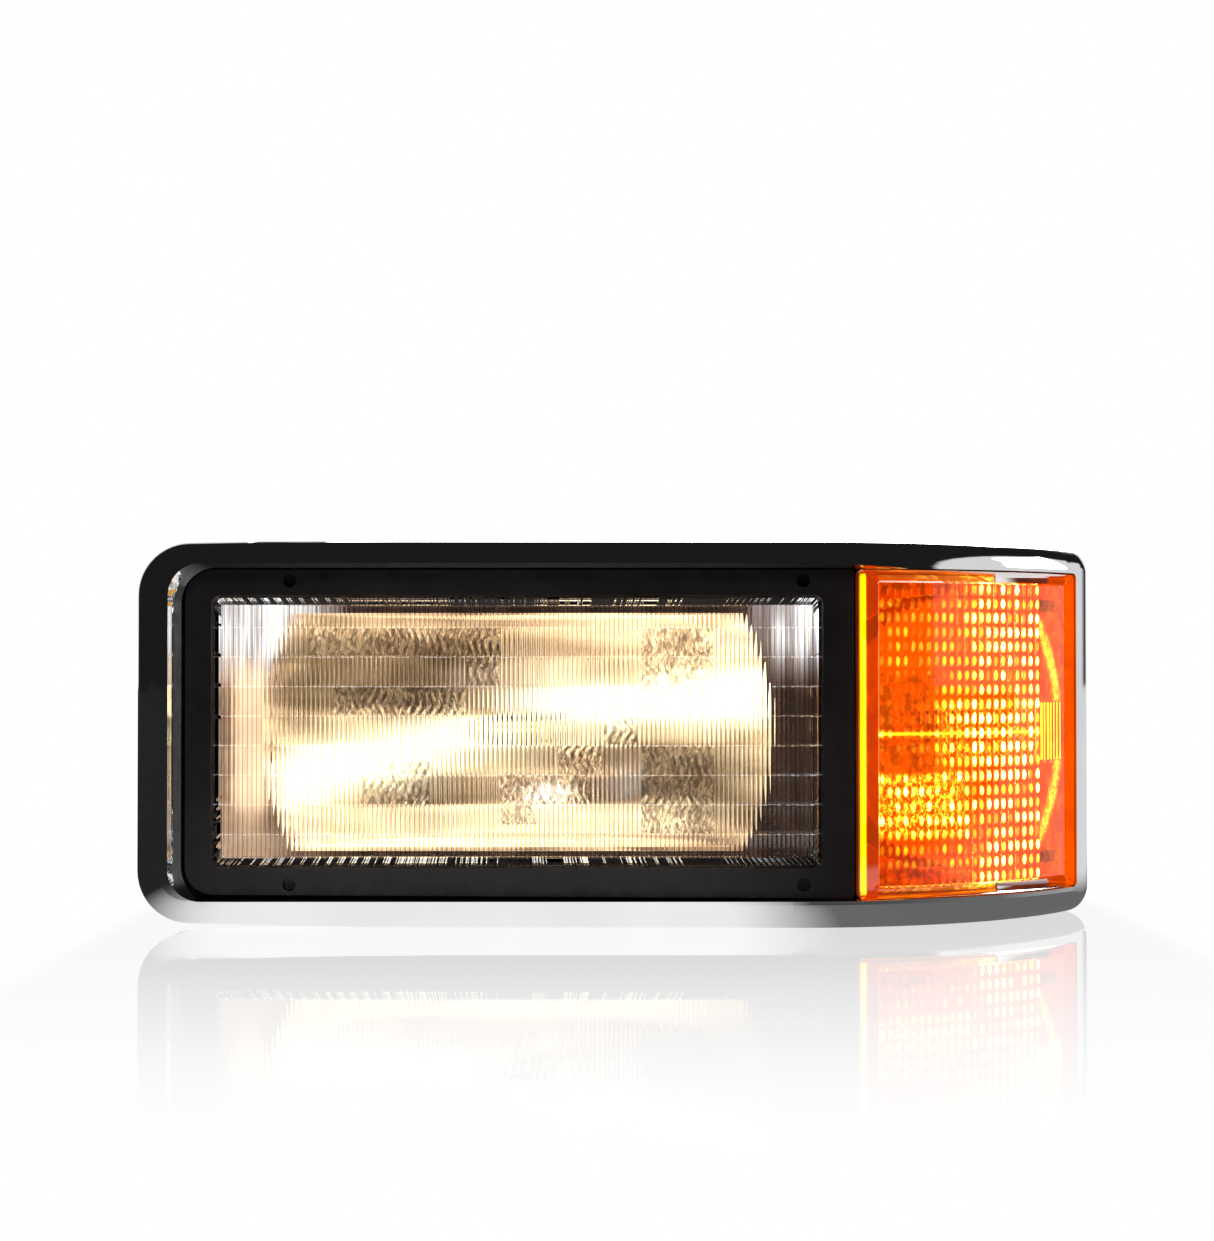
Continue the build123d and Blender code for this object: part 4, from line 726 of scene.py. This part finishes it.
# ---------- amber lens ----------
def pillow_relief(x, z):
    """How far the amber lens's back stands out at a point: pillows, then ribs in the small block."""
    u = (x - PILLOWS[0]) / PILLOW_X
    v = (z - PILLOWS[2]) / PILLOW_Z
    ridge_x = 1 - (2 * (u - math.floor(u)) - 1) ** 2
    ridge_z = 1 - (2 * (v - math.floor(v)) - 1) ** 2
    if x < PILLOW_END:
        return PILLOW_SAG * (0.65 * ridge_x + 0.35 * ridge_z)
    if abs(z - PILLOW_MIDDLE) < BLOCK_HALF and x < PILLOW_END + BLOCK_WIDE:
        return PILLOW_SAG * 0.7 * ridge_x
    return 0.0


def build_amber_lens():
    outline = (TURN_LOW.x, TURN_HIGH.x, TURN_LOW.z, TURN_HIGH.z)
    inner = grown(outline, -TURN_WALL)
    xs = [PILLOWS[0] + PILLOW_X * i / PILLOW_STEPS for i in range(PILLOW_COLUMNS * PILLOW_STEPS + 1)]
    zs = [PILLOWS[2] + PILLOW_Z * i / PILLOW_STEPS for i in range(PILLOW_ROWS * PILLOW_STEPS + 1)]

    def skin(x, z, inset):
        return x, FRONT + depth_at(x, inset), z

    def back(x, z):
        on_edge = x <= xs[0] or x >= xs[-1] or z <= zs[0] or z >= zs[-1]
        return skin(x, z, TURN_FACE + TURN_WALL + (0.0 if on_edge else pillow_relief(x, z)))

    def ring(box, corner, inset, seat):
        def place(x, z):
            px, pz = rounded(*stretched(x, z, PILLOWS, box), box, corner)
            return px, FRONT + depth_at(px, inset, seat), pz
        return place

    face_corner, rim_corner, inner_corner = TURN_CORNERS
    loops = [
        ring(grown(outline, -TURN_CHAMFER), face_corner, TURN_FACE, False),
        ring(outline, rim_corner, TURN_FACE + TURN_CHAMFER, False),
        ring(outline, rim_corner, TURN_SEAT, True),
        ring(inner, inner_corner, TURN_SEAT, True),
        ring(inner, inner_corner, TURN_FACE + TURN_WALL, False),
    ]
    lens = moulded_lens(
        "pillowed_turn_lens", xs, zs, back, lambda x, z: skin(x, z, TURN_FACE), loops,
        amber_lens(), amber_optics())
    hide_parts("turn_lens")


# ---------- rubber boot ----------
def softened(profile):
    """The profile with a smooth curve through its points."""
    made = []
    points = [profile[0], *profile, profile[-1]]
    for before, here, there, after in zip(points, points[1:], points[2:], points[3:]):
        for i in range(BOOT_STEPS):
            t = i / BOOT_STEPS
            place = []
            for p, q, r, n in zip(before, here, there, after):
                bend = 2 * p - 5 * q + 4 * r - n
                twist = 3 * q - p - 3 * r + n
                place.append(0.5 * (2 * q + (r - p) * t + bend * t**2 + twist * t**3))
            made.append(tuple(place))
    return made + [profile[-1]]


def boot_part(name, profile, look):
    """A ring of rubber wall round the beam axis; depths are in mm behind the boot's front."""
    curve = [(radius * MM, BOOT_FRONT + depth * MM) for radius, depth in softened(profile)]
    outer, inner = [], []
    for i, (radius, y) in enumerate(curve):
        before, after = curve[max(i - 1, 0)], curve[min(i + 1, len(curve) - 1)]
        run, climb = after[0] - before[0], after[1] - before[1]
        length = math.hypot(run, climb)
        across, along = climb / length * BOOT_WALL / 2, -run / length * BOOT_WALL / 2
        outer.append((radius + across, y + along))
        inner.append((radius - across, y - along))
    section = outer + inner[::-1]
    vertices = []
    for step in range(BOOT_SEGMENTS):
        turn = 2 * math.pi * step / BOOT_SEGMENTS
        for radius, y in section:
            x, z = BEAM_X + radius * math.cos(turn), BEAM_Z + radius * math.sin(turn)
            vertices.append((x, y, z))
    count = len(section)
    faces = []
    for step in range(BOOT_SEGMENTS):
        here, there = step * count, (step + 1) % BOOT_SEGMENTS * count
        for i in range(count):
            j = (i + 1) % count
            faces.append((here + i, here + j, there + j, there + i))
    part = new_piece(name, vertices, faces, look, body=None)
    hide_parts("bulb_boot")
    return part


def build_boot(look):
    """The boot as its outer folds and its inner folds, two pieces that ride on no body."""
    outer = boot_part("boot_outer_folds", BOOT_OUTER, look)
    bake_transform(outer)
    inner = boot_part("boot_inner_folds", BOOT_INNER, look)
    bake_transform(inner)


# ---------- carried-over CAD nodes ----------
def dress_nodes():
    """Give every CAD node its procedural material, by the record's slot."""
    looks = {
        "black_housing": moulded(
            "black_housing", (0.012, 0.012, 0.014), (0.030, 0.030, 0.033), 0.55, 900, 0.0001),
        "black_trim": moulded(
            "black_trim", (0.010, 0.008, 0.0085), (0.019, 0.016, 0.0165), 0.42, 1500, 0.00004),
        "chrome": chrome(),
        "mirror": glow_painted_mirror(),
        "zinc_steel": metal("zinc_steel", (0.48, 0.48, 0.44), (0.66, 0.66, 0.62), 0.28, 1500),
        "black_screw": metal("black_screw", (0.03, 0.03, 0.032), (0.06, 0.06, 0.062), 0.4, 1200),
        "rubber": moulded(
            "rubber", (0.014, 0.014, 0.014), (0.026, 0.026, 0.026), 0.75, 600, 0.0001, specular=0.3),
        "brass": metal("brass", (0.62, 0.45, 0.20), (0.80, 0.62, 0.32), 0.25, 1400),
        "white_plastic": moulded(
            "white_plastic", (0.62, 0.61, 0.56), (0.72, 0.71, 0.66), 0.4, 800, 0.00005),
        "knob_plastic": moulded(
            "knob_plastic", (0.52, 0.50, 0.45), (0.62, 0.60, 0.55), 0.5, 900, 0.00006),
        "bulb_glass": lamp_glass(),
        "tungsten": hot_wire(),
        "bulb_plastic": moulded(
            "bulb_plastic", (0.06, 0.06, 0.065), (0.11, 0.11, 0.115), 0.5, 900, 0.00006),
        "copper_alloy": metal("copper_alloy", (0.60, 0.52, 0.38), (0.78, 0.70, 0.56), 0.25, 1400),
    }
    special = {"inner_bezel": shroud_mirror(), "turn_reflector": turn_mirror()}
    slots = {entry["node"]: entry["material_slot"] for entry in frame["record"]["subparts"]}
    build_boot(looks["rubber"])
    for name, node in frame["nodes"].items():
        # The two lens nodes are hidden by their moulded pieces and take the trim's material.
        look = special.get(name) or looks.get(slots[name], looks["black_trim"])
        for slot in node.material_slots:
            slot.material = look


# ---------- stage, light and camera ----------
def build_floor():
    """Pale floor that mirrors the lamp faintly; in the chrome it shows white ahead, grey under the amber."""
    corners = [(-1, -1), (1, -1), (1, 1), (-1, 1)]
    mesh = bpy.data.meshes.new("floor")
    mesh.from_pydata([(x * FLOOR_HALF, y * FLOOR_HALF, 0) for x, y in corners], [], [(0, 1, 2, 3)])
    floor = placed("floor", mesh)
    made = Material("pale_floor")
    tree = made.tree
    ahead = made.y.between(FRONT - 0.32, BEZEL_HIGH.y + 0.6, 0.2)
    white = made.x.between(BEZEL_LOW.x + 0.06, 0.06, 0.10) * ahead * 0.95
    grey = made.x.smooth(0.0, 0.1) * ahead * (made.y.smooth(FRONT - 0.22, FRONT - 0.02) * 0.10 + 0.03)
    side = made.x.smooth(0.36, 0.6) * made.y.smooth(-0.6, -0.3) * 0.75
    near = white.top(grey).top(side)
    seen = Field(tree, tree.nodes.new("ShaderNodeLightPath").outputs["Is Camera Ray"])
    light = tree.nodes.new("ShaderNodeEmission")
    light.inputs["Color"].default_value = WHITE
    tree.links.new(seen.top(near + 0.02).socket, light.inputs["Strength"])
    gloss = tree.nodes.new("ShaderNodeBsdfGlossy")
    gloss.inputs["Color"].default_value = WHITE
    gloss.inputs["Roughness"].default_value = 0.02
    depth = (made.y - FRONT).smooth(-0.75, 0.05) * made.y.smooth(BEZEL_HIGH.y + 0.1, BEZEL_HIGH.y)
    fade = depth * MIRRORING * seen * made.x.between(BEZEL_LOW.x, BEZEL_HIGH.x, 0.03)
    blend_shaders(tree, fade.socket, light, gloss, made.out)
    mesh.materials.append(made.data)


def build_world():
    """White backdrop for the camera; a dark studio with a bright right side for reflections."""
    world = bpy.data.worlds.new("studio")
    bpy.context.scene.world = world
    world.use_nodes = True
    tree = world.node_tree
    tree.nodes.clear()
    axes = tree.nodes.new("ShaderNodeSeparateXYZ")
    tree.links.new(tree.nodes.new("ShaderNodeTexCoord").outputs["Generated"], axes.inputs[0])
    x = Field(tree, axes.outputs[0])
    y = Field(tree, axes.outputs[1])
    strength = x.smooth(0.775, 0.815) * 0.95 + y.smooth(0.72, 0.9) + 0.015
    studio = tree.nodes.new("ShaderNodeBackground")
    tree.links.new(strength.socket, studio.inputs["Strength"])
    backdrop = tree.nodes.new("ShaderNodeBackground")
    backdrop.inputs["Color"].default_value = WHITE
    seen = tree.nodes.new("ShaderNodeLightPath").outputs["Is Camera Ray"]
    blend_shaders(tree, seen, studio, backdrop, tree.nodes.new("ShaderNodeOutputWorld"))


def area_light(name, place, target, size, power, mirrored=True):
    data = bpy.data.lights.new(name, "AREA")
    data.shape = "RECTANGLE"
    data.size, data.size_y = size
    data.energy = power
    light = placed(name, data)
    light.location = place
    light.rotation_euler = (Vector(target) - Vector(place)).to_track_quat("-Z", "Y").to_euler()
    light.visible_glossy = mirrored


def build_camera():
    data = bpy.data.cameras.new("camera")
    data.lens = CAMERA_LENS
    data.sensor_width = SENSOR
    camera = placed("camera", data)
    camera.location = (CAMERA_X, FRONT - CAMERA_BACK, CAMERA_Z)
    camera.rotation_euler = (CAMERA_TILT, 0, 0)
    bpy.context.scene.camera = camera


dress_nodes()
build_clear_lens()
build_amber_lens()
build_floor()
build_world()
area_light("key", (-0.9, -1.5, 1.6), AIM, (0.9, 0.5), 18, mirrored=False)
area_light("back", (0.3, 1.6, 1.1), (0, 0.05, 0.12), (1.4, 0.9), 30)
area_light("right", (1.7, 0.2, 0.7), (0.1, 0, 0.12), (0.8, 0.8), 12)
build_camera()
bpy.context.scene.view_settings.view_transform = "Standard"
